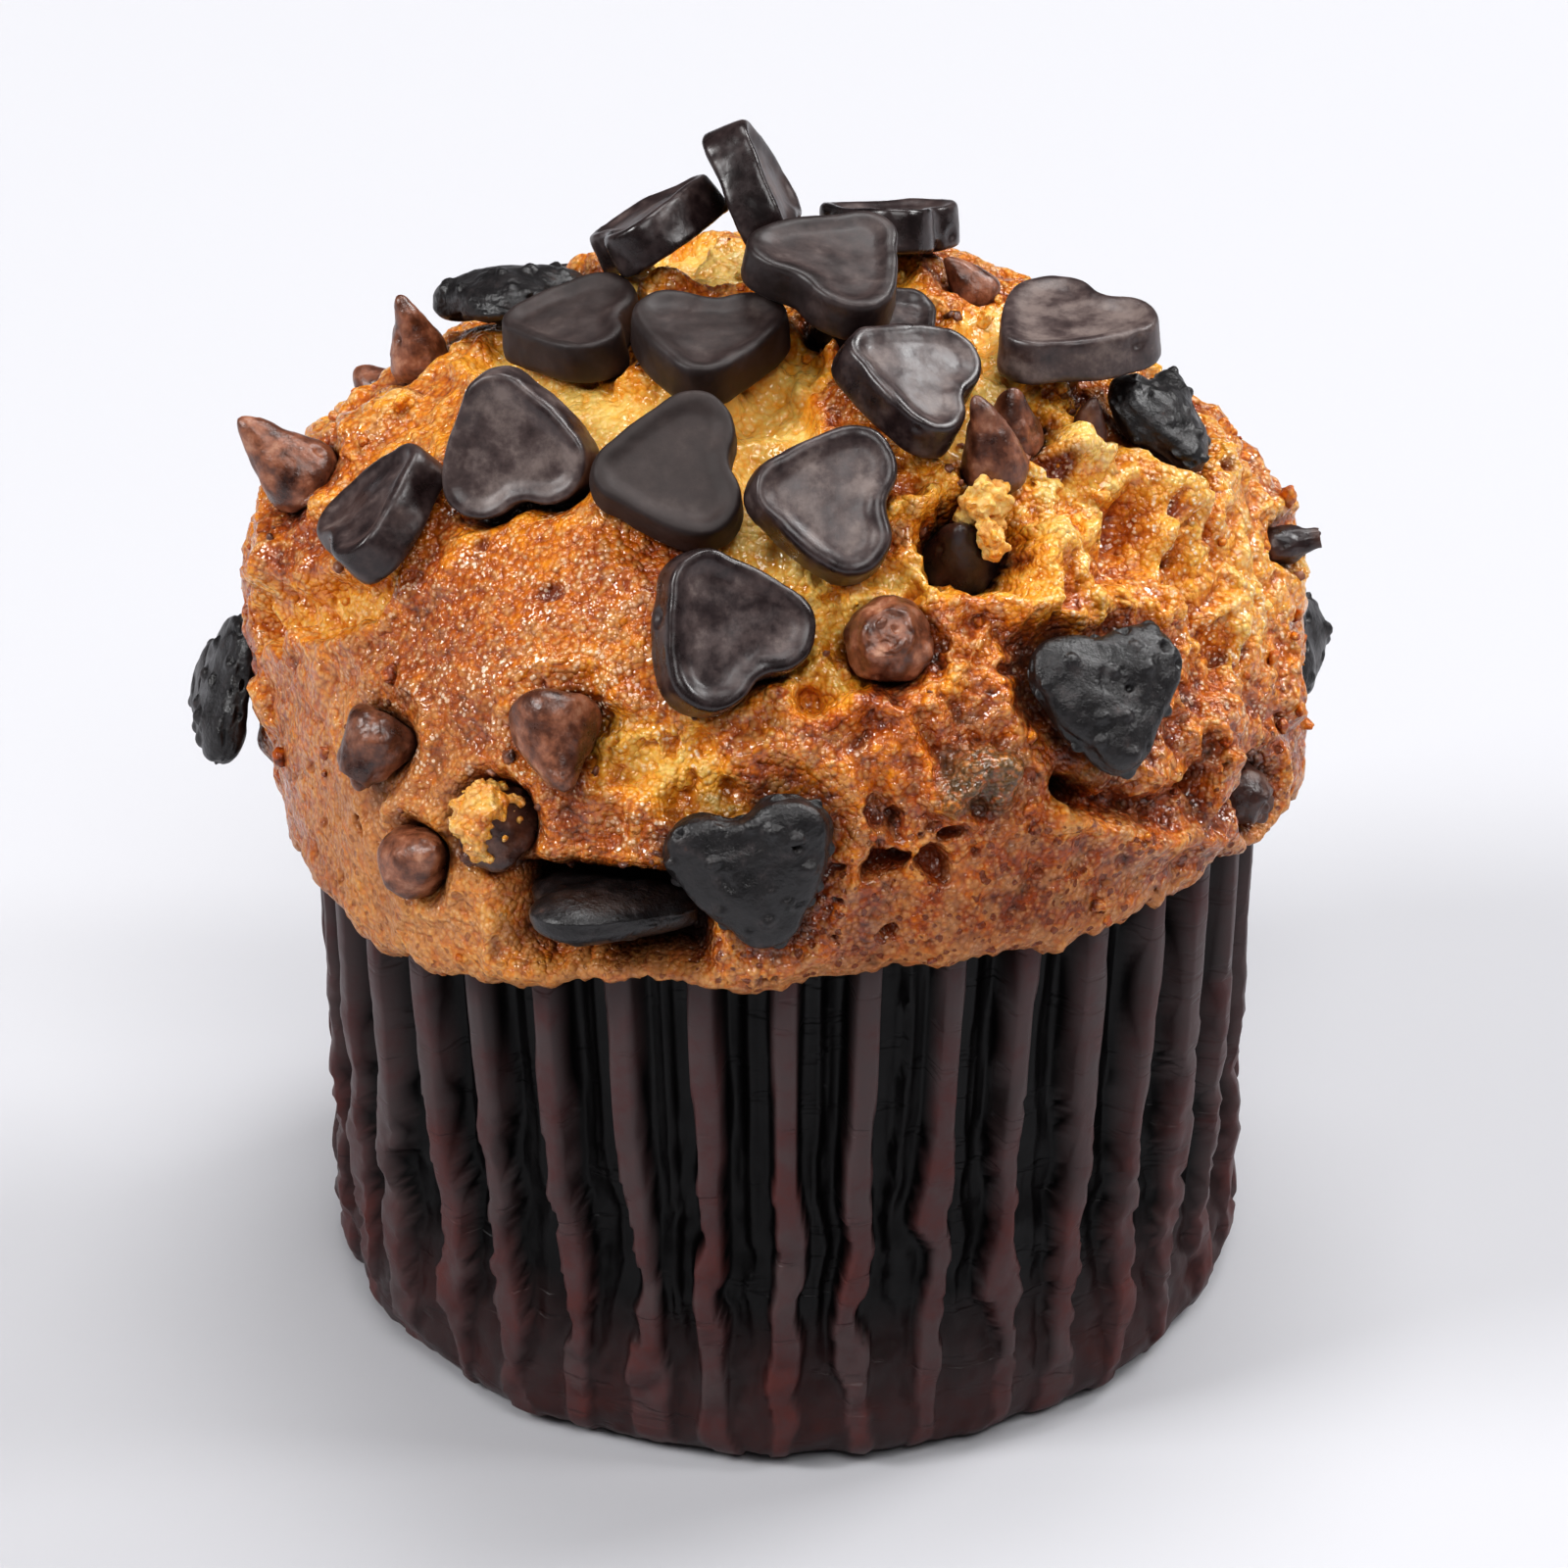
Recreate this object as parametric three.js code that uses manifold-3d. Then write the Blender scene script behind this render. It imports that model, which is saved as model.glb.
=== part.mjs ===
// A large domed muffin in a pleated dark paper case. Moulded dark chocolate hearts lie on the
// crown, older ones that went through the oven sit in the crust, and milk chocolate drops are
// half sunk between them.
// Millimetres, +Z up. The origin is the centre of the case's flat base, on the surface that it
// stands on, and the shown side faces -Y.
import * as THREE from "three";
import { mergeVertices } from "three/addons/utils/BufferGeometryUtils.js";
import Module from "manifold-3d";

const wasm = await Module();
wasm.setup();

// ---------------------------------------------------------------- driving dimensions
const PAPER_THICKNESS = 0.5;
const FIT_GAP = 0.32; // the clearance left round every piece that sits against another

const CASE_RADIUS = 33.7; // to the outside of the pleats
const CASE_FOOT_RADIUS = 31.2; // of the flat base
const CASE_FOOT_HEIGHT = 3.2; // of the rounded edge above it
const PLEATS = 36;
const PLEAT_DEPTH = 1.7;
const PLEAT_LEAN = 5; // degrees that a pleat wanders round the case from the rim to the base

const DOME_CENTRE = new THREE.Vector3(0, 0, 40);
const DOME_RADIUS = 36.5; // sideways from the dome's centre
const DOME_RISE = 34.5; // upwards from the dome's centre
const DOME_DROP = 60; // the same below the centre, where the side of the crumb runs straight down
const DOME_SQUARENESS = 2.25; // 2 is an ellipse, more has fuller shoulders
const DOME_COLUMNS = 44;
const DOME_ROWS = 12;

// Swellings of the dome: direction as [azimuth, elevation], spread in degrees, height in mm.
// Azimuth 0 is the front and 90 the right-hand side, seen from the front.
const SWELLINGS = [
  { at: [-96, 24], spread: 15, height: 4.3 },
  { at: [95, 28], spread: 16, height: 1.8 },
  { at: [-90, -5], spread: 20, height: -1.2 },
];

// Height of the crumb's lower lip round the case, as [azimuth, height]
const LIP_HEIGHTS = [
  [-180, 38],
  [-135, 37.5],
  [-90, 35.6],
  [-56, 36],
  [-46, 37.3],
  [-10, 41.2],
  [55, 41.4],
  [90, 37.2],
  [135, 38],
  [180, 38],
];

const FRESH_THICKNESS = 3.5;
const BAKED_THICKNESS = 4.2; // they swelled in the oven
const HEART_ASPECT = 0.96; // height over width
const HEART_ROUNDING = 0.8;
const DROP_SIDES = 8;

// Where each topping sits: at is the spot on the dome as [azimuth, elevation] and lift the height
// of its centre above the crust; faces is the direction its broad face (or a drop's point) looks,
// and spin turns it in that plane, 0 with the notch upwards.
const FRESH_HEARTS = [
  { name: "heart_top_upright", at: [-155, 82], lift: 6.3, faces: [91, 28], spin: 185, width: 10 },
  { name: "heart_top_leaning", at: [-116, 75], lift: 4.1, faces: [-115, 57], spin: 135, width: 10.4 },
  { name: "heart_top_rear", at: [134, 75], lift: 2.9, faces: [180, 71], spin: -65, width: 10.2 },
  { name: "heart_top_flat", at: [30, 80], lift: 5, faces: [29, 75], spin: -115, width: 11.4 },
  { name: "heart_top_under", at: [58, 77], lift: -0.4, faces: [50, 70], spin: -90, width: 9.2 },
  { name: "heart_left_crown", at: [-78, 65.5], lift: 1, faces: [-51, 79], spin: 50, width: 10.2 },
  { name: "heart_mid_crown", at: [-30, 73], lift: 1.4, faces: [0, 81], spin: 5, width: 11 },
  { name: "heart_right_far", at: [73, 59.5], lift: 3.5, faces: [0, 89], spin: 40, width: 12 },
  { name: "heart_right_near", at: [29, 64.2], lift: 3, faces: [48, 60], spin: 150, width: 10.4 },
  { name: "heart_left_face", at: [-51, 52], lift: 2, faces: [-16, 19], spin: 160, width: 11 },
  { name: "heart_mid_face", at: [-21, 54.5], lift: 1.6, faces: [0, 49], spin: 85, width: 11 },
  { name: "heart_right_face", at: [6, 52.4], lift: 1.7, faces: [14, 39], spin: 105, width: 10.8 },
  { name: "heart_left_side", at: [-64, 39], lift: 2, faces: [-83, 47], spin: 165, width: 10.6 },
  { name: "heart_front_face", at: [-8, 39], lift: 1.8, faces: [23, 32], spin: 160, width: 11.4 },
  { name: "heart_back_high", at: [168, 44], lift: 0, faces: [168, 52], spin: 30, width: 11 },
  { name: "heart_back_left", at: [-150, 36], lift: 0.3, faces: [-156, 40], spin: 120, width: 10.8 },
  { name: "heart_back_right", at: [134, 27], lift: 0.2, faces: [128, 34], spin: -40, width: 11.2 },
  { name: "heart_back_mid", at: [-170, 22], lift: 1.8, faces: [-176, 26], spin: 200, width: 11 },
];
const BAKED_HEARTS = [
  { name: "baked_heart_left", at: [-95, 4.5], lift: 4, faces: [-77, 18], spin: -55, width: 11.8 },
  { name: "baked_heart_front", at: [-3, 15], lift: 1.6, faces: [0, 10], spin: -15, width: 11.6 },
  { name: "baked_heart_right", at: [38, 27], lift: 2, faces: [28, 38], spin: 5, width: 11.2 },
  { name: "baked_heart_side", at: [110, 2], lift: 2.8, faces: [77, 18], spin: 55, width: 11 },
  { name: "baked_heart_rear", at: [78, 46], lift: 1.2, faces: [76, 47], spin: 30, width: 9 },
  { name: "baked_heart_low", at: [-19, 8.4], lift: -0.8, faces: [180, 75], spin: 90, width: 12.4 },
  { name: "baked_heart_crown", at: [-111, 56], lift: 1.3, faces: [-165, 71], spin: -50, width: 11.2 },
  { name: "baked_heart_back_left", at: [-142, 10], lift: 2, faces: [-145, 20], spin: 20, width: 11.4 },
  { name: "baked_heart_back_right", at: [156, 4], lift: 2, faces: [152, 15], spin: -30, width: 11.6 },
];
const DROPS = [
  { name: "drop_upper_left", at: [-103, 46.5], lift: 1.9, faces: [-95, 80], width: 4.4, height: 6.4 },
  { name: "drop_left", at: [-88, 32.5], lift: 2.4, faces: [-95, 42], width: 5.8, height: 7 },
  { name: "drop_front_left", at: [-51, 17], lift: 1, faces: [-52, -48], width: 5.4, height: 6.2 },
  { name: "drop_front", at: [-26, 25], lift: 1.2, faces: [0, -41], width: 6.4, height: 7.2 },
  { name: "drop_low_left", at: [-41.5, 9.2], lift: 0.7, faces: [30, 38], width: 5.2, height: 5.4 },
  { name: "drop_crumbed", at: [-34, 15.6], lift: 0.4, faces: [-47, 41], width: 6.2, height: 5.8 },
  { name: "drop_blunt", at: [13, 38], lift: 0.6, faces: [0, 39], width: 6, height: 5.6 },
  { name: "drop_in_hollow", at: [29.5, 47.5], lift: -2.2, faces: [0, 59], width: 5.4, height: 5.4 },
  { name: "drop_right_crown", at: [38.5, 55], lift: 2.2, faces: [-90, 84], width: 4.6, height: 7 },
  { name: "drop_far_crown", at: [52, 58], lift: 0.2, faces: [0, 85], width: 4.6, height: 5 },
  { name: "drop_right_small", at: [66, 52.4], lift: 0.3, faces: [60, 80], width: 3, height: 4.2 },
  { name: "drop_right_side", at: [86, 25.5], lift: 1.3, faces: [96, 10], width: 2.8, height: 5.2 },
  { name: "drop_right_edge", at: [64, 5.5], lift: -0.5, faces: [66, -20], width: 4.6, height: 5 },
  { name: "drop_back_crown", at: [112, 68], lift: 0.5, faces: [-90, 50], width: 3.6, height: 4.6 },
  { name: "drop_back_mid", at: [176, 6], lift: 1, faces: [-178, 25], width: 6.4, height: 6.6 },
  { name: "drop_back_right", at: [122, 14], lift: 1, faces: [118, 30], width: 5.8, height: 6.4 },
  { name: "drop_back_left", at: [-122, 28], lift: 1, faces: [-118, 35], width: 6.2, height: 7 },
];

const FINISHES = {
  paper: { color: 0x3a2f2e, roughness: 0.55, metalness: 0 },
  crust: { color: 0xc07a34, roughness: 0.6, metalness: 0 },
  dark_chocolate: { color: 0x2b2423, roughness: 0.35, metalness: 0 },
  baked_chocolate: { color: 0x242526, roughness: 0.75, metalness: 0 },
  milk_chocolate: { color: 0x6b4636, roughness: 0.5, metalness: 0 },
};

// ---------------------------------------------------------------- helpers
// The unit vector of [azimuth, elevation] in degrees
function direction([azimuth, elevation]) {
  const a = THREE.MathUtils.degToRad(azimuth);
  const e = THREE.MathUtils.degToRad(elevation);
  return new THREE.Vector3(
    Math.cos(e) * Math.sin(a),
    -Math.cos(e) * Math.cos(a),
    Math.sin(e),
  );
}

// A point at a radius and height on the given azimuth
function polar(azimuth, radius, z) {
  return direction([azimuth, 0]).multiplyScalar(radius).setZ(z);
}

// Reads a list of [azimuth, value] pairs, with smooth steps between them
function roundTheRim(pairs, azimuth) {
  const i = Math.max(1, pairs.findIndex(([a]) => a >= azimuth));
  const [a0, v0] = pairs[i - 1];
  const [a1, v1] = pairs[i];
  const t = THREE.MathUtils.smoothstep(azimuth, a0, a1);
  return THREE.MathUtils.lerp(v0, v1, t);
}

const azimuthOfColumn = (column, columns) => -180 + (360 * column) / columns;

// A closed surface of revolution-like rings: rings[r][c] run round the axis from one end of the
// body to the other, and a fan closes each end on its own centre point.
function closedRings(rings, firstCentre, lastCentre) {
  const columns = rings[0].length;
  const points = rings.flat().concat(firstCentre, lastCentre);
  const first = points.length - 2;
  const last = points.length - 1;
  const index = [];
  for (let r = 0; r + 1 < rings.length; r++) {
    for (let c = 0; c < columns; c++) {
      const a = r * columns + c;
      const b = r * columns + ((c + 1) % columns);
      index.push(a, b, b + columns, a, b + columns, a + columns);
    }
  }
  for (let c = 0; c < columns; c++) {
    const next = (c + 1) % columns;
    const end = (rings.length - 1) * columns;
    index.push(first, next, c, last, end + c, end + next);
  }
  const geometry = new THREE.BufferGeometry().setFromPoints(points);
  geometry.setIndex(index);
  return geometry;
}

function toSolid(geometry) {
  const bare = geometry.clone();
  bare.deleteAttribute("normal");
  bare.deleteAttribute("uv");
  const merged = mergeVertices(bare, 1e-3);
  return new wasm.Manifold(
    new wasm.Mesh({
      numProp: 3,
      vertProperties: merged.attributes.position.array,
      triVerts: new Uint32Array(merged.index.array),
    }),
  );
}

function toGeometry(solid) {
  const { vertProperties, triVerts } = solid.getMesh();
  const geometry = new THREE.BufferGeometry();
  geometry.setAttribute("position", new THREE.BufferAttribute(vertProperties, 3));
  geometry.setIndex(new THREE.BufferAttribute(triVerts, 1));
  geometry.computeVertexNormals();
  return geometry;
}

function namedMesh(name, geometry, finish) {
  const material = new THREE.MeshStandardMaterial(FINISHES[finish]);
  const mesh = new THREE.Mesh(geometry, material);
  mesh.name = name;
  return mesh;
}

// ---------------------------------------------------------------- dome
function domeRadius(azimuth, elevation) {
  const e = THREE.MathUtils.degToRad(elevation);
  const rise = elevation > 0 ? DOME_RISE : DOME_DROP;
  const sideways = (Math.cos(e) / DOME_RADIUS) ** DOME_SQUARENESS;
  const upwards = (Math.abs(Math.sin(e)) / rise) ** DOME_SQUARENESS;
  let radius = (sideways + upwards) ** (-1 / DOME_SQUARENESS);
  const look = direction([azimuth, elevation]);
  for (const { at, spread, height } of SWELLINGS) {
    const away = THREE.MathUtils.radToDeg(look.angleTo(direction(at)));
    radius += height * Math.exp(-((away / spread) ** 2));
  }
  return radius;
}

function domePoint(azimuth, elevation) {
  const outwards = direction([azimuth, elevation]).multiplyScalar(domeRadius(azimuth, elevation));
  return outwards.add(DOME_CENTRE);
}

function domeNormal([azimuth, elevation]) {
  const step = 0.5;
  const along = domePoint(azimuth + step, elevation).sub(domePoint(azimuth - step, elevation));
  const up = domePoint(azimuth, elevation + step).sub(domePoint(azimuth, elevation - step));
  return along.cross(up).normalize();
}

// ---------------------------------------------------------------- paper case
const lipHeight = (azimuth) => roundTheRim(LIP_HEIGHTS, azimuth);
const rimHeight = (azimuth) => lipHeight(azimuth) - FIT_GAP;

// One level of the pleated wall, inset by the paper's thickness for the inner face. The pleats
// run from rim to base and lean towards the front as they go down.
function pleatedRing(level, radius, depth, inset) {
  const ring = [];
  for (let fold = 0; fold < 2 * PLEATS; fold++) {
    const azimuth = azimuthOfColumn(fold, 2 * PLEATS);
    const lean = PLEAT_LEAN * Math.sin(THREE.MathUtils.degToRad(2 * azimuth)) * (1 - level);
    const inGroove = fold % 2;
    const z = CASE_FOOT_HEIGHT + level * (rimHeight(azimuth) - CASE_FOOT_HEIGHT);
    ring.push(polar(azimuth - lean, radius - depth * inGroove - inset, z));
  }
  return ring;
}

function paperCase() {
  const levels = [0, 0.35, 0.7, 1];
  const depthAt = (level) => PLEAT_DEPTH * (0.65 + 0.35 * level);
  const foot = (radius, z) => pleatedRing(0, radius, 0, 0).map((p) => p.setZ(z));
  const outside = levels.map((level) => pleatedRing(level, CASE_RADIUS, depthAt(level), 0));
  const inside = levels.map((level) =>
    pleatedRing(level, CASE_RADIUS, depthAt(level), PAPER_THICKNESS),
  );
  const rings = [
    foot(CASE_FOOT_RADIUS, 0),
    foot(CASE_RADIUS - 0.9, CASE_FOOT_HEIGHT * 0.35),
    ...outside,
    ...inside.reverse(),
    foot(CASE_FOOT_RADIUS - PAPER_THICKNESS, PAPER_THICKNESS),
  ];
  const floor = new THREE.Vector3(0, 0, PAPER_THICKNESS);
  return closedRings(rings, new THREE.Vector3(), floor);
}

// ---------------------------------------------------------------- toppings
function heartShape(width) {
  const w = width;
  const h = width * HEART_ASPECT;
  const shape = new THREE.Shape();
  shape.moveTo(0, 0.3 * h);
  shape.bezierCurveTo(0.1 * w, 0.52 * h, 0.5 * w, 0.62 * h, 0.5 * w, 0.16 * h);
  shape.bezierCurveTo(0.5 * w, -0.16 * h, 0.22 * w, -0.46 * h, 0, -0.5 * h);
  shape.bezierCurveTo(-0.22 * w, -0.46 * h, -0.5 * w, -0.16 * h, -0.5 * w, 0.16 * h);
  shape.bezierCurveTo(-0.5 * w, 0.62 * h, -0.1 * w, 0.52 * h, 0, 0.3 * h);
  return shape;
}

// A heart about its own centre: face towards +Z, notch towards +Y
function heartGeometry(width, thickness) {
  const geometry = new THREE.ExtrudeGeometry(heartShape(width), {
    depth: thickness - 2 * HEART_ROUNDING,
    curveSegments: 3,
    bevelSegments: 1,
    bevelThickness: HEART_ROUNDING,
    bevelSize: HEART_ROUNDING,
    bevelOffset: -HEART_ROUNDING,
  });
  return geometry.translate(0, 0, HEART_ROUNDING - thickness / 2);
}

// The same heart without its rounding and grown by the clearance, to press its bed into the crumb
function heartBed(width, thickness) {
  const grown = width + 2 * FIT_GAP;
  const depth = thickness + 2 * FIT_GAP;
  const options = { depth, curveSegments: 3, bevelEnabled: false };
  return new THREE.ExtrudeGeometry(heartShape(grown), options).translate(0, 0, -depth / 2);
}

// A chocolate drop about its own centre, with its point towards +Z
function dropGeometry(width, height) {
  const profile = [
    [0, -0.5],
    [0.36, -0.5],
    [0.5, -0.34],
    [0.44, -0.1],
    [0.27, 0.16],
    [0.13, 0.38],
    [0, 0.5],
  ].map(([r, z]) => new THREE.Vector2(r * width, z * height));
  return new THREE.LatheGeometry(profile, DROP_SIDES).rotateX(Math.PI / 2);
}

const dropBed = (width, height) => dropGeometry(width + 2 * FIT_GAP, height + 2 * FIT_GAP);

// The position and turn of a topping, from its row
function toppingPose({ at, lift, faces, spin = 0 }) {
  const face = direction(faces);
  const upright = new THREE.Vector3(0, 0, 1).projectOnPlane(face).normalize();
  const notch = upright.applyAxisAngle(face, -THREE.MathUtils.degToRad(spin));
  const side = new THREE.Vector3().crossVectors(notch, face);
  const pose = new THREE.Matrix4().makeBasis(side, notch, face);
  return pose.setPosition(domeNormal(at).multiplyScalar(lift).add(domePoint(...at)));
}

function topping(row, geometry, finish) {
  const mesh = namedMesh(row.name, geometry, finish);
  mesh.applyMatrix4(toppingPose(row));
  return mesh;
}

// ---------------------------------------------------------------- muffin
// One body: a plug that fills the case, a lip that overhangs its rim, and the dome
function muffinBlank() {
  const plug = CASE_RADIUS - PLEAT_DEPTH - PAPER_THICKNESS - FIT_GAP;
  const floor = PAPER_THICKNESS + FIT_GAP;
  const ringAt = (pointAt) =>
    Array.from({ length: DOME_COLUMNS }, (_, column) =>
      pointAt(azimuthOfColumn(column, DOME_COLUMNS)),
    );
  const lipElevation = (azimuth) => {
    const drop = (lipHeight(azimuth) - DOME_CENTRE.z) / DOME_RADIUS;
    return THREE.MathUtils.radToDeg(Math.asin(drop));
  };
  const rings = [
    ringAt((azimuth) => polar(azimuth, plug - CASE_FOOT_HEIGHT, floor)),
    ringAt((azimuth) => polar(azimuth, plug, CASE_FOOT_HEIGHT + floor)),
    ringAt((azimuth) => polar(azimuth, plug, lipHeight(azimuth) - FIT_GAP)),
    ringAt((azimuth) => polar(azimuth, CASE_RADIUS + FIT_GAP, lipHeight(azimuth))),
  ];
  for (let row = 0; row < DOME_ROWS; row++) {
    rings.push(
      ringAt((azimuth) => {
        const low = lipElevation(azimuth) + 0.8;
        return domePoint(azimuth, low + ((90 - low) * row) / DOME_ROWS);
      }),
    );
  }
  return closedRings(rings, new THREE.Vector3(0, 0, floor), domePoint(0, 90));
}

function muffinBody() {
  let body = toSolid(muffinBlank());
  const press = (row, bed) => {
    body = body.subtract(toSolid(bed.applyMatrix4(toppingPose(row))));
  };
  FRESH_HEARTS.forEach((row) => press(row, heartBed(row.width, FRESH_THICKNESS)));
  BAKED_HEARTS.forEach((row) => press(row, heartBed(row.width, BAKED_THICKNESS)));
  DROPS.forEach((row) => press(row, dropBed(row.width, row.height)));
  return toGeometry(body);
}

// ---------------------------------------------------------------- assembly
const muffin = new THREE.Group();
const toppings = new THREE.Group();
muffin.add(namedMesh("paper_case", paperCase(), "paper"));
muffin.add(namedMesh("muffin", muffinBody(), "crust"));
for (const row of FRESH_HEARTS) {
  toppings.add(topping(row, heartGeometry(row.width, FRESH_THICKNESS), "dark_chocolate"));
}
for (const row of BAKED_HEARTS) {
  toppings.add(topping(row, heartGeometry(row.width, BAKED_THICKNESS), "baked_chocolate"));
}
for (const row of DROPS) {
  toppings.add(topping(row, dropGeometry(row.width, row.height), "milk_chocolate"));
}
muffin.add(toppings);

export default muffin;
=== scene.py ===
"""A tall domed muffin in a dark pleated paper case, with chocolate hearts and drops on its crust.

The solid frame gives every piece its place. The crust, the paper and each chocolate piece are
modelled here over it. Lengths are metres in the scene, and millimetres inside the shaping
functions. The shown side faces -Y, and azimuths count from there towards +X.
"""

import math
import random

import bpy
import numpy as np
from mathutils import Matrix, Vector, noise
from mathutils.kdtree import KDTree


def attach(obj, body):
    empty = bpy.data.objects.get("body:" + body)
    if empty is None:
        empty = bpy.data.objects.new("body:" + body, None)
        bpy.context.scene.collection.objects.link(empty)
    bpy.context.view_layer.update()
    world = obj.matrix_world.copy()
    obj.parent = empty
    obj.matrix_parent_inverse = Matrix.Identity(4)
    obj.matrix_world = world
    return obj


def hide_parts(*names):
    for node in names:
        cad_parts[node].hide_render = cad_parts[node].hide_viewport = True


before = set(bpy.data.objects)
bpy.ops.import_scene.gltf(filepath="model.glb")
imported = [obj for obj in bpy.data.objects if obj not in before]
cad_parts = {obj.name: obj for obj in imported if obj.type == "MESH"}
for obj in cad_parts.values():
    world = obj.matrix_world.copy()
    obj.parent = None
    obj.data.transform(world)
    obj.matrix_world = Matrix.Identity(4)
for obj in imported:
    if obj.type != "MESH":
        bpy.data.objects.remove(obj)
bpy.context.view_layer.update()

MM = 0.001


# ------------------------------------------------------------------ camera
CAMERA_ELEVATION = math.radians(28.8)
CAMERA_DISTANCE = 0.4663
CAMERA_TARGET = Vector((-0.00015, 0, 0.0363))
CAMERA_LENS = 150
CAMERA_SENSOR = 36


def make_camera():
    back = Vector((0, -math.cos(CAMERA_ELEVATION), math.sin(CAMERA_ELEVATION)))
    bpy.ops.object.camera_add(
        location=CAMERA_TARGET + back * CAMERA_DISTANCE,
        rotation=(math.pi / 2 - CAMERA_ELEVATION, 0, 0),
    )
    camera = bpy.context.object
    camera.data.lens = CAMERA_LENS
    camera.data.sensor_width = CAMERA_SENSOR
    camera.data.clip_start = 0.01
    camera.data.clip_end = 10
    bpy.context.scene.camera = camera


# ------------------------------------------------------------------ small tools
def linear(colour):
    """An sRGB hex colour as linear RGBA."""
    channels = [int(colour[i : i + 2], 16) / 255 for i in (1, 3, 5)]
    return tuple(c / 12.92 if c <= 0.04045 else ((c + 0.055) / 1.055) ** 2.4 for c in channels) + (1,)


def add_node(tree, kind, inputs=None, stops=None, **settings):
    """Adds a node. An input is a value or another node's output, and stops fill a colour ramp."""
    made = tree.nodes.new(kind)
    for name, value in settings.items():
        setattr(made, name, value)
    for name, value in (inputs or {}).items():
        if isinstance(value, bpy.types.NodeSocket):
            tree.links.new(value, made.inputs[name])
        else:
            made.inputs[name].default_value = value
    if stops:
        elements = made.color_ramp.elements
        while len(elements) < len(stops):
            elements.new(0.5)
        for element, (position, colour) in zip(elements, stops):
            element.position = position
            element.color = linear(colour)
    return made


def new_material(name):
    """A material with its tree, its Principled shader and Object coordinates."""
    material = bpy.data.materials.new(name)
    material.use_nodes = True
    tree = material.node_tree
    shader = tree.nodes["Principled BSDF"]
    place = add_node(tree, "ShaderNodeTexCoord").outputs["Object"]
    return material, tree, shader, place


def select_only(obj):
    bpy.ops.object.select_all(action="DESELECT")
    obj.select_set(True)
    bpy.context.view_layer.objects.active = obj


def points_of(obj):
    """The piece's vertices in millimetres."""
    flat = np.empty(len(obj.data.vertices) * 3)
    obj.data.vertices.foreach_get("co", flat)
    return flat.reshape(-1, 3) / MM


def set_points(obj, points):
    obj.data.vertices.foreach_set("co", (points * MM).ravel())
    obj.data.update()


def normals_of(obj):
    flat = np.empty(len(obj.data.vertices) * 3)
    obj.data.vertices.foreach_get("normal", flat)
    return flat.reshape(-1, 3)


def edges_of(obj):
    flat = np.empty(len(obj.data.edges) * 2, np.int64)
    obj.data.edges.foreach_get("vertices", flat)
    return flat.reshape(-1, 2)


def neighbour_mean(values, edges):
    """The mean of each vertex's neighbours."""
    total = np.zeros(len(values))
    count = np.zeros(len(values))
    for a, b in ((0, 1), (1, 0)):
        np.add.at(total, edges[:, a], values[edges[:, b]])
        np.add.at(count, edges[:, a], 1)
    return total / np.maximum(count, 1)


def store(obj, name, values):
    """Keeps one number for each vertex, for the material to read."""
    attribute = obj.data.attributes.new(name, "FLOAT", "POINT")
    attribute.data.foreach_set("value", np.clip(values, 0, 1).astype(np.float32))


def apply_modifier(obj, kind, **settings):
    select_only(obj)
    modifier = obj.modifiers.new(kind.title(), kind)
    for name, value in settings.items():
        setattr(modifier, name, value)
    bpy.ops.object.modifier_apply(modifier=modifier.name)


def smoothstep(low, high, values):
    t = np.clip((values - low) / (high - low), 0, 1)
    return t * t * (3 - 2 * t)


def lumps(points, size, detail=3, seed=0):
    """Soft noise from about -1 to 1, with features of the given size in millimetres."""
    shift = Vector((17.3 * seed, -9.1 * seed, 5.7 * seed))
    return np.array([noise.fractal(Vector(p) / size + shift, 0.9, 2.1, detail) for p in points])


def cells(points, size, seed=0):
    """Distance to the nearest point of an irregular grid, in millimetres, and a number per cell."""
    shift = Vector((3.7 * seed, 8.9 * seed, -6.1 * seed))
    away = np.empty(len(points))
    label = np.empty(len(points))
    for i, p in enumerate(points):
        distances, centres = noise.voronoi(Vector(p) / size + shift)
        away[i] = distances[0] * size
        label[i] = noise.cell(centres[0] * 7.3) * 0.5 + 0.5
    return away, label


def finish_piece(obj, name, material, slot, *nodes):
    """Names a piece, gives it its finish and puts it in place of its solids."""
    obj.name = name
    obj.data.name = name
    obj.data.materials.clear()
    obj.data.materials.append(material)
    select_only(obj)
    bpy.ops.object.shade_smooth()
    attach(obj, "root")
    if nodes:
        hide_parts(*nodes)


# ------------------------------------------------------------------ the dome's form
DOME_CENTRE = np.array([0.0, 0.0, 40.0])
DOME_RADIUS = 36.5
DOME_RISE = 34.5
DOME_DROP = 60.0
DOME_SQUARENESS = 2.25
# azimuth, elevation, spread in degrees, height
SWELLINGS = [(-96, 24, 15, 4.3), (95, 28, 16, 1.8), (-90, -5, 20, -1.2)]


def directions(azimuth, elevation):
    a = np.radians(azimuth)
    e = np.radians(elevation)
    return np.stack([np.cos(e) * np.sin(a), -np.cos(e) * np.cos(a), np.sin(e)], axis=-1)


def angles_of(vectors):
    unit = vectors / np.linalg.norm(vectors, axis=-1, keepdims=True)
    azimuth = np.degrees(np.arctan2(unit[..., 0], -unit[..., 1]))
    return azimuth, np.degrees(np.arcsin(np.clip(unit[..., 2], -1, 1)))


def degrees_apart(azimuth, elevation, at):
    cosine = directions(azimuth, elevation) @ directions(*at)
    return np.degrees(np.arccos(np.clip(cosine, -1, 1)))


def around(azimuth, elevation, at, spread):
    """A soft spot on the dome: 1 at its middle, fading over the spread in degrees."""
    return np.exp(-((degrees_apart(azimuth, elevation, at) / spread) ** 2))


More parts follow.
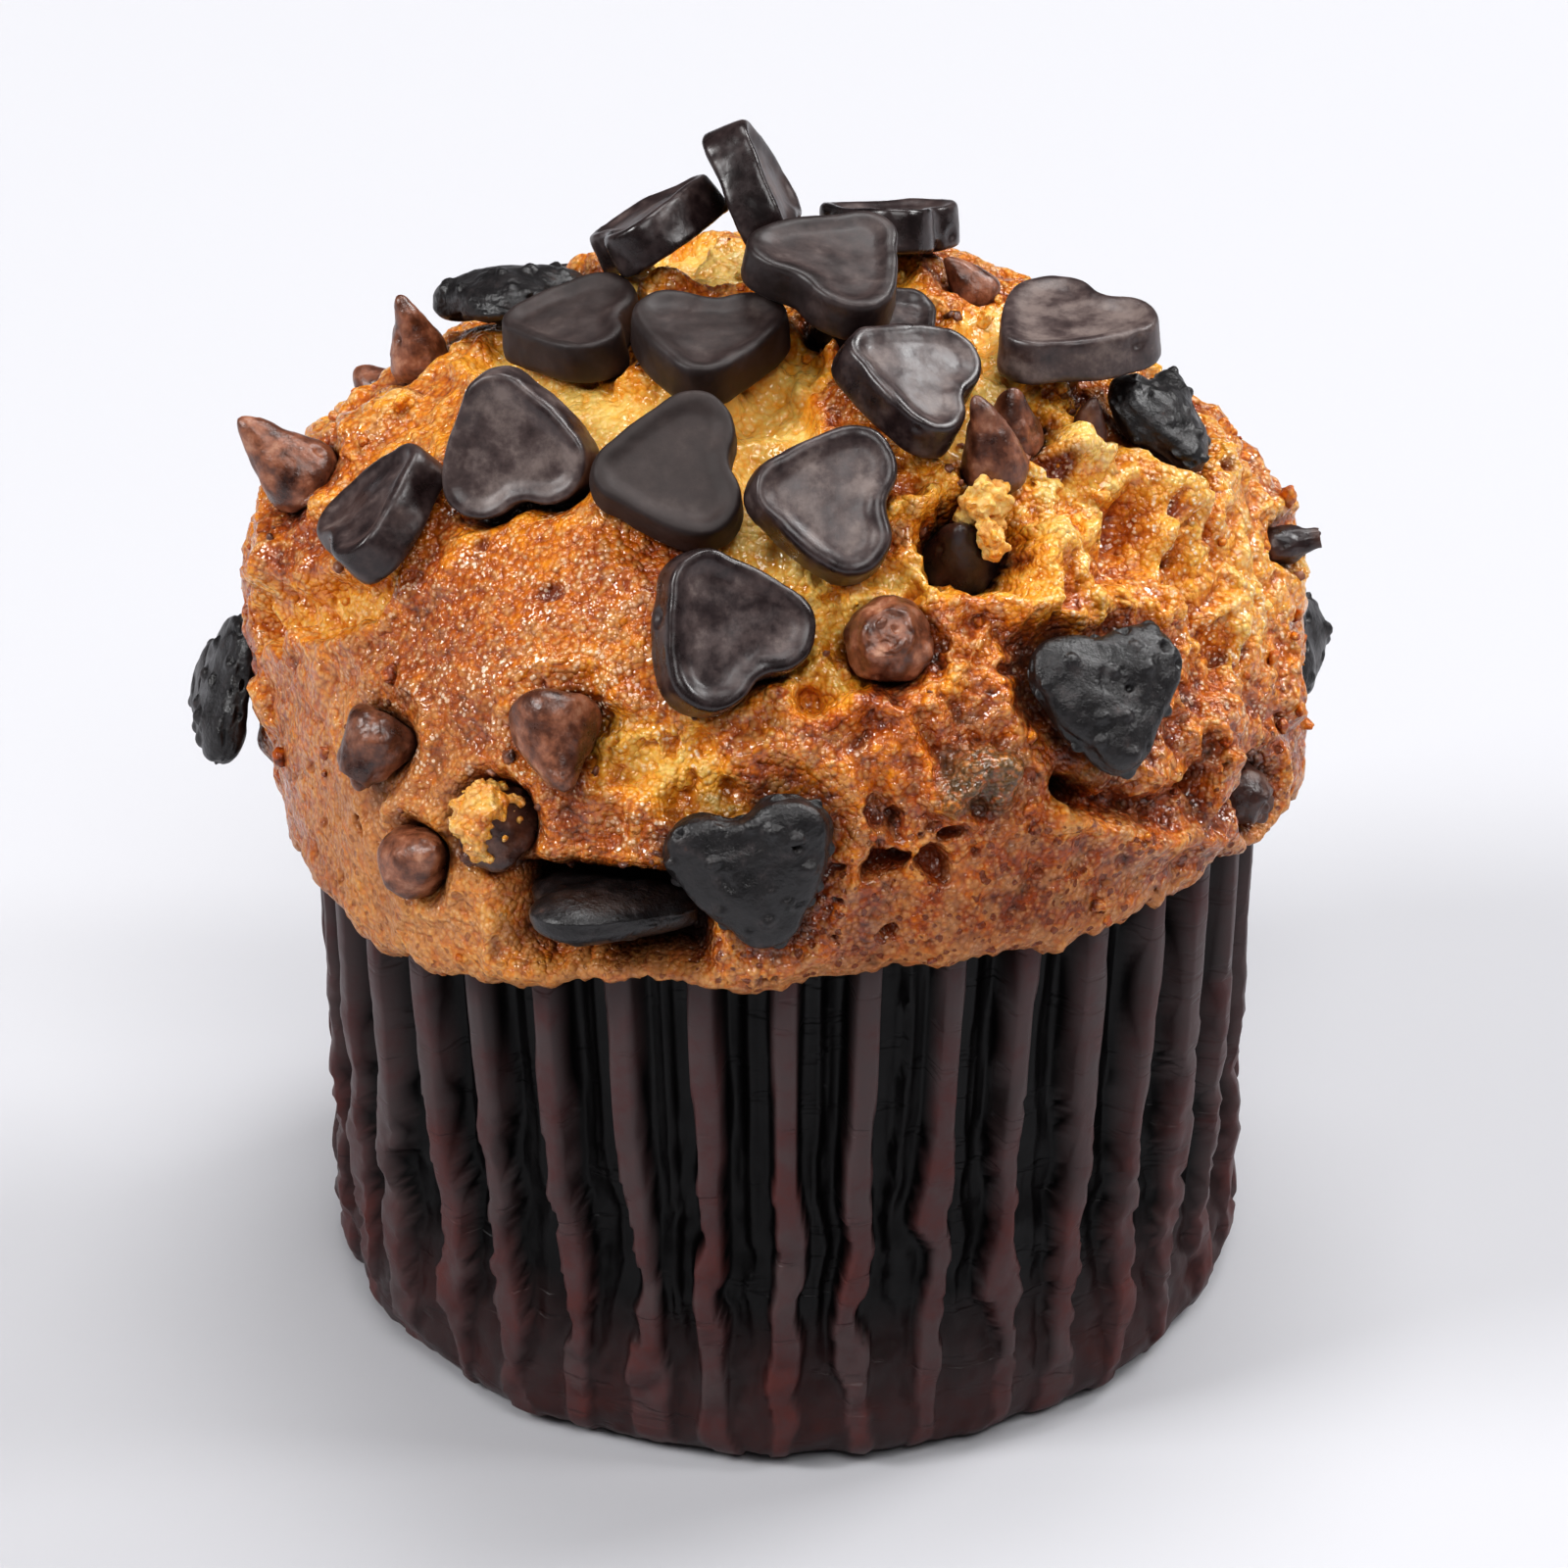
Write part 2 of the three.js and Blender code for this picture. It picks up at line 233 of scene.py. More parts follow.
def dome_radius(azimuth, elevation):
    e = np.radians(elevation)
    rise = np.where(elevation > 0, DOME_RISE, DOME_DROP)
    sideways = (np.cos(e) / DOME_RADIUS) ** DOME_SQUARENESS
    upwards = (np.abs(np.sin(e)) / rise) ** DOME_SQUARENESS
    radius = (sideways + upwards) ** (-1 / DOME_SQUARENESS)
    for a, b, spread, height in SWELLINGS:
        radius = radius + height * around(azimuth, elevation, (a, b), spread)
    return radius


def dome_points(azimuth, elevation):
    radius = dome_radius(azimuth, elevation)
    return DOME_CENTRE + directions(azimuth, elevation) * radius[..., None]


def case_rim():
    """Azimuths and heights of the paper case's rim, read from its solid."""
    points = points_of(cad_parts["paper_case"])
    azimuth, _ = angles_of(points * (1, 1, 0) + (0, 0, 1e-6))
    steps = np.arange(-180, 181, 5)
    heights = []
    for step in steps:
        near = np.abs((azimuth - step + 180) % 360 - 180) < 4
        heights.append(points[near, 2].max())
    return steps, np.array(heights)


RIM_AZIMUTHS, RIM_HEIGHTS = case_rim()


def rim_height(azimuth):
    return np.interp(azimuth, RIM_AZIMUTHS, RIM_HEIGHTS)


# ------------------------------------------------------------------ forms of the toppings
LOBE_RADIUS = 0.275
TIP_RADIUS = 0.225
FLANK_BULGE = 0.025
HEART_ASPECT = 0.96
# A chocolate drop from its foot to its point: radius for a width of 1, height for a height of 1
DROP_PROFILE = [
    (0.0, -0.48),
    (0.30, -0.49),
    (0.43, -0.45),
    (0.495, -0.36),
    (0.49, -0.25),
    (0.435, -0.10),
    (0.35, 0.06),
    (0.265, 0.20),
    (0.19, 0.33),
    (0.12, 0.43),
    (0.055, 0.485),
    (0.0, 0.50),
]


def directions_flat(turn):
    return np.stack([np.cos(np.radians(turn)), np.sin(np.radians(turn))], axis=-1)


def arc(centre, radius, start, end, steps):
    return np.array(centre) + radius * directions_flat(np.linspace(start, end, steps))


def heart_outline(steps):
    """A plump heart one unit wide with its notch towards +Y, as points counted round it."""
    half = HEART_ASPECT / 2
    lobe = np.array([0.5 - LOBE_RADIUS, half - LOBE_RADIUS])
    tip = np.array([0.0, -half + TIP_RADIUS])
    reach = lobe - tip
    along = math.degrees(math.atan2(reach[1], reach[0]))
    away = math.degrees(math.acos((LOBE_RADIUS - TIP_RADIUS) / np.linalg.norm(reach)))
    flank = along - away
    notch = math.degrees(math.acos(-lobe[0] / LOBE_RADIUS))
    low = arc(tip, TIP_RADIUS, -90, flank, 12)
    high = arc(lobe, LOBE_RADIUS, flank, notch - 16, 40)
    s = np.linspace(0, 1, 12)[1:-1, None]
    out = directions_flat(flank)
    side = low[-1] + s * (high[0] - low[-1]) + out * FLANK_BULGE * 4 * s * (1 - s)
    right = np.vstack([low, side, high])
    left = right[::-1] * (-1, 1)
    path = np.vstack([right, left[:-1], right[:1]])
    lengths = np.concatenate([[0], np.cumsum(np.linalg.norm(np.diff(path, axis=0), axis=1))])
    even = np.linspace(0, lengths[-1], steps, endpoint=False)
    return np.stack([np.interp(even, lengths, path[:, i]) for i in (0, 1)], axis=1)


def outline_distance(points, outline):
    """Distance of flat points to a closed outline, negative inside it."""
    nearest = np.full(len(points), 1e9)
    inside = np.zeros(len(points), bool)
    for a, b in zip(outline, np.roll(outline, -1, axis=0)):
        edge = b - a
        t = np.clip((points - a) @ edge / (edge @ edge), 0, 1)
        nearest = np.minimum(nearest, np.linalg.norm(points - a - t[:, None] * edge, axis=1))
        crosses = (a[1] > points[:, 1]) != (b[1] > points[:, 1])
        with np.errstate(divide="ignore", invalid="ignore"):
            x = a[0] + (points[:, 1] - a[1]) * edge[0] / edge[1]
        inside ^= crosses & (points[:, 0] < x)
    return np.where(inside, -nearest, nearest)


FILL = 0.985  # of a solid's size that its shaped piece takes up
CHART_SIZE = 121
CHART_REACH = 1.2


def chart_heart():
    """Distances to the unit heart's outline, on a square chart round it."""
    axis = np.linspace(-CHART_REACH, CHART_REACH, CHART_SIZE)
    x, y = np.meshgrid(axis, axis, indexing="ij")
    flat = np.stack([x.ravel(), y.ravel()], axis=1)
    return outline_distance(flat, heart_outline(64)).reshape(CHART_SIZE, CHART_SIZE)


HEART_CHART = chart_heart()


def heart_distance(flat):
    """Distance to the unit heart's outline, read from its chart."""
    spot = (np.clip(flat, -CHART_REACH, CHART_REACH) + CHART_REACH) / (2 * CHART_REACH)
    spot = spot * (CHART_SIZE - 1.001)
    low = spot.astype(int)
    part = spot - low
    total = 0
    for i in (0, 1):
        for j in (0, 1):
            share = np.abs(1 - i - part[:, 0]) * np.abs(1 - j - part[:, 1])
            total = total + share * HEART_CHART[low[:, 0] + i, low[:, 1] + j]
    return total


class Seat:
    """Place and pose of one topping, read from its solid: millimetres, face and notch directions."""

    def __init__(self, node):
        self.node = node
        points = np.unique(points_of(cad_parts[node]).round(3), axis=0)
        self.is_heart = not node.startswith("drop")
        self.is_baked = node.startswith("baked")
        middle = points.mean(axis=0)
        reach = points - middle
        longest, _, thinnest = np.linalg.svd(reach, full_matrices=False)[2]
        self.face = thinnest if self.is_heart else longest
        flat = reach - np.outer(reach @ self.face, self.face)
        away = np.linalg.norm(flat, axis=1)
        if self.is_heart:
            looks_in = self.face @ (middle - DOME_CENTRE) < 0
            tip = flat[np.argmax(away)]
            self.notch = -tip / np.linalg.norm(tip)
        else:
            looks_in = (reach @ self.face) @ (away - away.mean()) > 0
            helper = np.array([0.0, 1.0, 0.0]) if abs(self.face[2]) > 0.9 else np.array([0.0, 0.0, 1.0])
            self.notch = np.cross(self.face, helper)
            self.notch /= np.linalg.norm(self.notch)
        if looks_in:
            self.face = -self.face
        self.side = np.cross(self.notch, self.face)
        local = np.stack([reach @ self.side, reach @ self.notch, reach @ self.face], axis=1)
        low, high = local.min(axis=0), local.max(axis=0)
        self.size = high - low
        self.centre = middle + np.stack([self.side, self.notch, self.face], axis=1) @ ((low + high) / 2)
        self.width = self.size[0] if self.is_heart else 2 * away.max()

    def to_local(self, points):
        away = points - self.centre
        return np.stack([away @ self.side, away @ self.notch, away @ self.face], axis=1)

    def to_world(self, local):
        return self.centre + local @ np.stack([self.side, self.notch, self.face])

    def distance(self, points):
        """Distance of points to the topping's form, negative inside it."""
        local = self.to_local(points)
        if self.is_heart:
            flank = heart_distance(local[:, :2] / self.width) * self.width
            return np.maximum(flank, np.abs(local[:, 2]) - self.size[2] / 2)
        radii = np.array([r for r, _ in DROP_PROFILE[1:]]) * self.width
        heights = np.array([z for _, z in DROP_PROFILE[1:]]) * self.size[2]
        flank = np.linalg.norm(local[:, :2], axis=1) - np.interp(local[:, 2], heights, radii)
        return np.maximum(flank, heights[0] - local[:, 2])


SEATS = [Seat(node) for node in sorted(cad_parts) if node not in ("paper_case", "muffin")]


# ------------------------------------------------------------------ crust
# Splits where the moist crumb shows: a path of (azimuth, elevation), width, depth in mm
SPLITS = [
    ([(-113, 70), (-135, 76), (160, 78), (80, 80)], 9.0, 1.0),
    ([(-92, 58), (-63, 60), (-43, 62), (-25, 67), (-5, 70)], 6.0, 1.5),
    ([(-3, 76), (-5, 62), (-6, 48), (2, 42), (5, 36)], 6.5, 1.8),
    ([(-84, 17), (-76, 23), (-68, 27), (-60, 32), (-63, 37)], 3.2, 2.0),
    ([(-20, 26), (-12, 25), (-8, 20)], 4.4, 0.9),
    ([(8, 40), (17, 44), (27, 46), (33, 41)], 3.0, 1.0),
    ([(30, 60), (46, 58), (60, 62), (90, 66)], 4.0, 0.8),
    ([(150, 72), (165, 56), (178, 44), (-168, 40)], 5.0, 1.4),
    ([(178, 44), (150, 34), (135, 33)], 3.4, 1.1),
    ([(-150, 68), (-135, 50), (-128, 42)], 4.0, 1.2),
]
# Ridges and grooves of the broken crust: a path of (azimuth, elevation), half width, height in mm
FOLDS = [
    ([(32, 18.8), (39.8, 15.2), (49, 13.2)], 1.2, -3.2),
    ([(30, 17), (42.3, 11.8), (53.5, 6.6)], 1.3, 1.7),
    ([(11, 31), (15, 27), (17.7, 22.4), (19.5, 19.3), (21.8, 14)], 0.8, 1.3),
    ([(16, 28), (19.8, 22.5), (21.6, 18.5)], 0.8, -1.0),
    ([(12, 52.5), (22.3, 50.5), (29.9, 49), (35, 47)], 1.3, 1.5),
    ([(9, 48), (16, 47), (24, 46)], 1.5, -1.7),
    ([(56.5, 42), (53.5, 38.5), (51, 35.5)], 1.9, -2.6),
    ([(64, 36), (61.5, 30), (61.7, 24)], 1.2, -1.9),
    ([(29.8, 39), (35.3, 38.5), (39.8, 35.2)], 1.5, 1.4),
    ([(48.8, 34.5), (54.1, 34), (56.6, 31)], 1.4, 1.5),
    ([(38, 49), (46, 46), (48, 38), (45, 32)], 0.9, -1.4),
    ([(22, 37), (28, 33), (36, 31)], 0.9, -1.2),
    ([(44, 60), (50, 55), (52, 50)], 0.9, -0.9),
    ([(66, 52), (72, 44), (70, 33)], 0.8, -1.2),
    ([(3, 33), (9, 27), (12, 19)], 1.0, -1.0),
    ([(-24, 27), (-15, 28), (-6, 30)], 1.0, 0.8),
    ([(-88, 30), (-78, 34), (-70, 42)], 1.0, 0.9),
    ([(-66, 20), (-60, 27), (-52, 36), (-48, 44)], 1.3, 0.7),
    ([(-48, 12), (-36, 14), (-28, 12)], 0.8, 0.5),
    ([(100, 44), (112, 34), (108, 20)], 1.2, -1.8),
    ([(124, 48), (138, 40), (146, 28)], 1.2, -1.6),
    ([(-120, 34), (-128, 24), (-142, 16)], 1.1, -1.6),
    ([(-158, 30), (-166, 22), (178, 18)], 1.2, -1.7),
    ([(156, 20), (146, 12), (130, 8)], 1.0, -1.4),
]
# Lighter and darker bakes: azimuth, elevation, spread in degrees, change
BAKES = [
    (-42, 24, 16, 0.06),
    (-58, 44, 14, -0.05),
    (-30, 44, 9, 0.05),
    (-92, 38, 18, -0.12),
    (-80, 14, 12, -0.06),
    (-40, 0, 12, -0.14),
    (-64, 8, 10, -0.10),
    (-14, 24, 9, -0.16),
    (16, 12, 15, 0.06),
    (34, 8, 17, 0.06),
    (58, 8, 14, 0.05),
    (20, 22, 5, 0.10),
    (38, 44, 13, -0.17),
    (52, 50, 15, -0.18),
    (56, 51, 6, -0.14),
    (60, 30, 10, -0.12),
    (-86, 30, 9, 0.14),
    (78, 28, 14, -0.20),
    (70, 24, 9, -0.14),
    (-95, 5, 14, 0.06),
    (130, 12, 26, 0.06),
    (-150, 20, 24, -0.06),
    (170, 60, 18, -0.10),
    (-170, 8, 20, 0.08),
]
# Wet amber patches where the film is torn: azimuth, elevation, spread in degrees
AMBER_PATCHES = [
    (-7, 22, 5),
    (-22, 15, 5),
    (-62, 40, 7),
    (-79, 28, 9),
    (56, 43, 5),
    (60, 31, 6),
    (27, 40, 5),
    (8, 31, 6),
    (-29, 18, 5),
    (31, 37, 5),
    (14, 27, 5),
    (40, 24, 5),
    (-92, 12, 7),
    (118, 30, 8),
    (-150, 34, 8),
    (168, 26, 8),
]
# Holes in the crust: azimuth, elevation, radius, depth
HOLES = [
    (29.5, 47.5, 2.8, 3.2),
    (15.5, 14.1, 1.3, 1.5),
    (18.7, 16, 0.9, 1.2),
    (15.9, 17.2, 0.45, 0.7),
    (10.8, 15.4, 1.5, 2.2),
    (9.7, 20.3, 0.8, 1.0),
    (12.7, 20.5, 0.9, 1.0),
    (28.2, 11.1, 0.8, 0.9),
    (26.6, 11.4, 0.6, 0.8),
    (24.2, 10.1, 0.5, 0.7),
    (18, 9.5, 0.7, 0.7),
    (51.5, 52, 1.2, 0.6),
    (-47, 42, 0.9, 0.6),
    (-33, 39, 1.0, 0.5),
    (64, 36, 0.7, 0.8),
    (-54, 8, 0.8, 0.8),
    (-68, 9, 0.9, 0.9),
    (18, 34, 0.9, 1.1),
    (24, 32, 0.7, 1.0),
    (58.6, 8.7, 1.6, 1.6),
    (33.3, 18.6, 1.7, 3.1),
    (50.5, 15.4, 1.1, 1.5),
    (120, 14, 1.2, 1.2),
    (-160, 16, 1.0, 1.0),
    (170, 10, 1.2, 1.2),
]
# Raised lumps: azimuth, elevation, radius in mm, height
KNOBS = [
    (22.4, 22.2, 3.1, 1.9),
    (41.5, 42.5, 3.9, 1.7),
    (65, 41.5, 4.2, 1.3),
    (59, 52.5, 3.0, 1.4),
    (55, 57, 2.2, 1.1),
    (54, 13.5, 2.6, 1.7),
    (57, 18, 2.8, 1.3),
    (33, 53, 2.2, 1.3),
    (11, 25, 2.2, 0.8),
    (64, 26, 3.0, 1.1),
    (76, 14, 3.4, 1.2),
    (33, 38, 2.4, 0.9),
    (-88, 42, 3.0, 0.8),
    (-84, 22, 3.0, 1.2),
    (-82, 8, 2.4, 1.0),
    (140, 26, 4.0, 1.3),
    (-130, 20, 3.6, 1.2),
]
DUSTY_LUMP = (22.4, 22.2)
CRUMB_DRIPS = [(-51, 2.6, 1.5), (-41, 3.2, 0.8), (-3, 3.0, 1.4), (-30, 3.5, 0.6), (30, 4, 0.6), (150, 3, 1.2)]
# holes deeper than this are painted near black as shade
DEEP = 3.0
# smoothing steps of the local height used to paint shade into hollows and paler ridges
CAVITY_STEPS = 16
LIP_TUCK = 1.3
LIP_ROUND_HEIGHT = 2.6
DEEPEST_BED = 7.0
HIGHEST_TOUCH = 2.2


def path_distance(points, path):
    """Distance of each point to a path laid over the dome."""
    stops = np.array(path, float)
    line = dome_points(stops[:, 0], stops[:, 1])
    nearest = np.full(len(points), 1e9)
    for a, b in zip(line, line[1:]):
        edge = b - a
        t = np.clip((points - a) @ edge / (edge @ edge), 0, 1)
        nearest = np.minimum(nearest, np.linalg.norm(points - a - t[:, None] * edge, axis=1))
    return nearest


def spot_distance(points, azimuth, elevation):
    """Distance of each point to a spot on the dome."""
    return np.linalg.norm(points - dome_points(np.array(azimuth), np.array(elevation)), axis=1)


def ruggedness(azimuth, elevation):
    """How broken the crust is: the right-hand side is rough and the front left is smooth."""
    right = around(azimuth, elevation, (54, 40), 34)
    smooth = around(azimuth, elevation, (-42, 24), 30) + around(azimuth, elevation, (26, 4), 16)
    back = around(azimuth, elevation, (175, 25), 60)
    left = around(azimuth, elevation, (-90, 32), 17)
    return np.clip(0.34 + 0.72 * right + 0.35 * back + 0.4 * left - 0.27 * smooth, 0.08, 1.0)


def press_toppings(points, outwards, edges):
    """Moulds the crust to the toppings.

    Returns how far each point moves along its outward direction, how much it is hidden in a bed (painted as
    shade, with a thin ring of painted contact shade round the baked-in toppings and drops), and how near it
    is to a topping that was baked in.
    """
    moves = np.zeros(len(points))
    hidden = np.zeros(len(points))
    touched = np.zeros(len(points), bool)
    brims = np.zeros(len(points))
    halo = np.zeros(len(points))
    ragged = 0.45 * np.clip(lumps(points, 1.7, 3, 44), 0, 1)
    steps = np.arange(-DEEPEST_BED, 3.5, 0.25)
    for seat in SEATS:
        near = np.flatnonzero(np.linalg.norm(points - seat.centre, axis=1) < 11.5)
        rays = points[near][:, None, :] + outwards[near][:, None, :] * steps[None, :, None]
        away = seat.distance(rays.reshape(-1, 3)).reshape(len(near), len(steps))
        inside = away < 0.12 + (ragged[near][:, None] if seat.is_baked else 0)
        first = steps[np.argmax(inside, axis=1)] - 0.2
        hits = inside.any(axis=1) & (first < HIGHEST_TOUCH)
        first = np.where(first > 0, first * smoothstep(0.0, 1.3, -away.min(axis=1)), first)
        at = near[hits]
        moves[at] = np.where(touched[at], np.minimum(moves[at], first[hits]), first[hits])
        touched[at] = True
        deep = np.clip(-first[hits] / 2.0, 0.15, 1)
        hidden[at] = np.maximum(hidden[at], deep)
        if seat.is_baked or not seat.is_heart:
            gap = away.min(axis=1)
            halo[near] = np.maximum(halo[near], np.exp(-((np.maximum(gap, 0) / 1.1) ** 2)))
            height = 0.55 if seat.is_baked else 0.4
            ring = height * np.exp(-(((gap - 1.7) / 0.8) ** 2))
            brims[near] = np.maximum(brims[near], np.where(hits, 0, ring))
            # painted contact shadow: a thin dark ring where the crust meets a baked-in topping or drop
            hidden[near] = np.maximum(hidden[near], 0.5 * np.exp(-((np.maximum(gap, 0) / 0.35) ** 2)))
    spread = moves.copy()
    for _ in range(7):
        spread = np.where(touched, moves, neighbour_mean(spread, edges))
    moves = np.where(touched, moves, np.clip(spread, -2.5, 1.6) + brims)
    beside = touched.astype(float)
    for _ in range(2):
        beside = np.maximum(beside, neighbour_mean(beside, edges) > 0)
    for _ in range(3):
        moves = np.where(beside > 0, neighbour_mean(moves, edges), moves)
    return moves, hidden, halo


def dome_shape(unit):
    """Azimuth and elevation on the dome for unit directions of the upper half, and the lip's height."""
    azimuth, raw = angles_of(unit)
    round_trip = np.stack([np.sin(np.radians(azimuth)), np.cos(np.radians(azimuth)), 0 * azimuth], axis=1)
    lip = rim_height(azimuth) + 0.1 + 0.7 * lumps(round_trip * 35, 9, 2, 1)
    lip += 0.55 * lumps(round_trip * 35, 2.4, 2, 2) + 0.38 * lumps(round_trip * 35, 1.1, 2, 29)
    for at, width, drop in CRUMB_DRIPS:
        along = np.radians((azimuth - at + 180) % 360 - 180) * 35
        lip = lip - drop * np.exp(-((along / width) ** 2))
    lowest = np.degrees(np.arcsin((lip - DOME_CENTRE[2]) / DOME_RADIUS))
    elevation = lowest + np.clip(raw, 0, 90) / 90 * (90 - lowest)
    return azimuth, elevation, lip


def make_crust():
    bpy.ops.object.select_all(action="DESELECT")
    bpy.ops.mesh.primitive_ico_sphere_add(subdivisions=8, radius=1)
    dome = bpy.context.object
    bpy.ops.object.mode_set(mode="EDIT")
    bpy.ops.mesh.select_all(action="SELECT")
    bpy.ops.mesh.bisect(plane_co=(0, 0, 0.002), plane_no=(0, 0, 1), clear_inner=True)
    bpy.ops.object.mode_set(mode="OBJECT")
    azimuth, elevation, lip = dome_shape(points_of(dome) * MM)
    base = dome_points(azimuth, elevation)
    outwards = directions(azimuth, elevation)
    edges = edges_of(dome)
    rough = ruggedness(azimuth, elevation)

    # broad form: swells everywhere, craggy folds and clumps where the crust is broken
    warp = np.stack([lumps(base, 6, 2, s) for s in (41, 42, 43)], axis=1)
    twisted = base + 1.6 * warp
    swell = 0.7 * lumps(base, 15, 2, 3)
    crags = 0.5 - np.abs(lumps(twisted, 5.5, 3, 5)) * 1.6
    boulders = lumps(twisted, 4.2, 3, 4)
    swell += rough * (0.7 * crags + 0.5 * boulders)
    clump_away, clump_label = cells(twisted, 3.1, 5)
    clumps = np.clip(1 - (clump_away / 1.9) ** 2, 0, 1) * (0.4 + 0.6 * clump_label)
    swell += 0.75 * np.clip(rough - 0.25, 0, 1) * (clumps - 0.4)
    pillows = np.clip(np.abs(lumps(twisted, 8.5, 2, 61)) * 2.2, 0, 1) ** 0.6
    nuggets = np.clip(np.abs(lumps(twisted, 3.4, 2, 62)) * 2.2, 0, 1) ** 0.7
    swell += rough * (1.25 * (pillows - 0.65) + 0.36 * (nuggets - 0.6))
    for at_azimuth, at_elevation, radius, height in KNOBS:
        away = spot_distance(twisted, at_azimuth, at_elevation)
        swell += height * (1 - smoothstep(radius * 0.45, radius * 1.05, away))

    jitter = 1.1 * lumps(base, 4, 3, 6) + 0.35 * lumps(base, 1.3, 2, 16)
    for path, width, height in FOLDS:
        away = np.maximum(path_distance(twisted, path) + 0.5 * jitter, 0)
        swell += height * np.exp(-((away / width) ** 2))

    # splits in the crust
    crumb = np.zeros(len(base))
    rims = np.zeros(len(base))
    for path, width, depth in SPLITS:
        away = path_distance(base, path) + jitter
        half = width * 0.4
        swell -= depth * (1 - smoothstep(half, half + 0.9, away))
        crumb = np.maximum(crumb, 1 - smoothstep(half - 0.4, half + 1.6, away))
        rims = np.maximum(rims, np.exp(-(((away - half - 1.5) / 0.9) ** 2)))
    swell += 0.4 * rims * (1 - crumb)

    # holes; the deepest ones are painted near black as shade
    hollow_shade = np.zeros(len(base))
    pits = np.zeros(len(base))
    for at_azimuth, at_elevation, radius, depth in HOLES:
        centre = dome_points(np.array(at_azimuth), np.array(at_elevation))
        away = np.linalg.norm((twisted - centre) * (1, 1, 1.25), axis=1) + 0.40 * jitter * radius
        pit = 1 - smoothstep(radius * 0.6, radius * 1.1, away)
        swell -= depth * pit
        if depth > DEEP:
            hollow_shade = np.maximum(hollow_shade, pit)
        else:
            pits = np.maximum(pits, pit)
    points = base + outwards * swell[:, None]
    moves, hidden, halo = press_toppings(points, outwards, edges)
    points = points + outwards * moves[:, None]

    above = np.clip((points[:, 2] - lip) / LIP_ROUND_HEIGHT, 0, 1)
    points -= outwards * (LIP_TUCK * (1 - np.sqrt(1 - (1 - above) ** 2)))[:, None]
    set_points(dome, points)

    # skin: fine grain, blisters and open pores
    normal = normals_of(dome)
    soft = crumb * smoothstep(36, 50, elevation)
    free = 1 - np.clip(hidden, 0, 1)
    porous = smoothstep(26, 12, elevation) * smoothstep(-45, 0, azimuth) * smoothstep(100, 62, azimuth)
    porous = np.maximum(porous, 0.55 * smoothstep(20, 6, elevation))
    grain = 0.08 * lumps(base, 0.95, 2, 7) + 0.12 * lumps(base, 2.0, 2, 17) * (0.4 + rough)
    crumbly = 0.3 - np.abs(lumps(twisted, 1.9, 3, 37)) * 1.5
    grain += np.clip(rough - 0.25, 0, 1) * (1 - soft) * (0.42 * crumbly + 0.12 * lumps(base, 0.9, 1, 38))
    bubbles, label = cells(base, 1.45, 1)
    blisters = np.clip(1 - (bubbles / 0.62) ** 2, 0, 1) * (label > 0.35)
    craters = (1 - smoothstep(0.30, 0.62, bubbles)) * (label < 0.16)
    pore_away, pore_label = cells(twisted * (1, 1, 1.35), 2.9, 2)
    pore_size = 0.30 + 1.3 * np.clip(pore_label - 0.55, 0, 1)
    pores = (1 - smoothstep(pore_size * 0.65, pore_size, pore_away)) * (pore_label > 0.55)
    pores *= smoothstep(0.3, 0.8, np.maximum(porous, rough - 0.2)) * (1 - crumb)
    sponge = crumb * smoothstep(0.10, 0.45, lumps(twisted, 1.7, 2, 20)) * (1 - 0.7 * soft)
    torn = np.clip(rough - 0.3, 0, 1) * smoothstep(0.12, 0.42, lumps(twisted, 1.5, 2, 21))
    relief = grain + (0.10 + 0.12 * rough) * blisters - 0.20 * craters - 0.75 * pores - 0.55 * sponge
    relief -= 0.5 * torn
    points = points + normal * (relief * free)[:, None]
    set_points(dome, points)

    height = np.linalg.norm(points - DOME_CENTRE, axis=1) - np.linalg.norm(base - DOME_CENTRE, axis=1)
    level = height
    for _ in range(CAVITY_STEPS):
        level = neighbour_mean(level, edges)
    raised = np.clip((height - level) / 0.5, -1, 1) * free
    bake = 0.52 + 0.13 * lumps(base, 11, 2, 8) + 0.09 * lumps(base, 3.2, 3, 9)
    # painted shade and highlight: the crust in local hollows is painted darker and on ridges paler
    bake -= np.clip(raised, -0.7, 1) * (0.12 + 0.06 * rough)
    bake += 0.09 * smoothstep(24, 6, elevation) - 0.06 * smoothstep(35, 65, elevation)
    for at_azimuth, at_elevation, spread, change in BAKES:
        bake += change * around(azimuth, elevation, (at_azimuth, at_elevation), spread)
    amber = np.zeros(len(base))
    for at_azimuth, at_elevation, spread in AMBER_PATCHES:
        amber = np.maximum(amber, around(azimuth, elevation, (at_azimuth, at_elevation), spread))
    amber *= smoothstep(-0.5, 0.3, lumps(base, 2.6, 2, 22))
    bake += 0.10 * amber + 0.12 * rims * (1 - crumb) + 0.05 * rough * np.clip(crags, -0.6, 0.5)
    bake += 0.06 * (0.5 - blisters) * (1 - crumb) + 0.08 * craters
    bake += 0.22 * halo * smoothstep(-0.4, 0.3, lumps(base, 1.8, 2, 39))
    bake *= 1 - 0.90 * crumb
    bake += 0.12 * crumb * smoothstep(52, 34, elevation) + 0.22 * sponge + 0.20 * torn
    near_lip = smoothstep(3.0, 0.6, points[:, 2] - lip) * (0.7 + 0.4 * lumps(base, 3, 2, 18))
    ridges = rough * smoothstep(0.1, 0.5, crags) * smoothstep(8, 20, elevation)
    store(dome, "bake", bake)
    golden = around(azimuth, elevation, (48, 46), 26) + 0.7 * around(azimuth, elevation, (-46, 46), 12)
    golden = np.maximum(0.8 * golden, np.clip(-raised, 0, 1) * rough)
    golden = np.maximum(golden, 0.9 * amber)
    store(dome, "moist", np.maximum(crumb, golden))
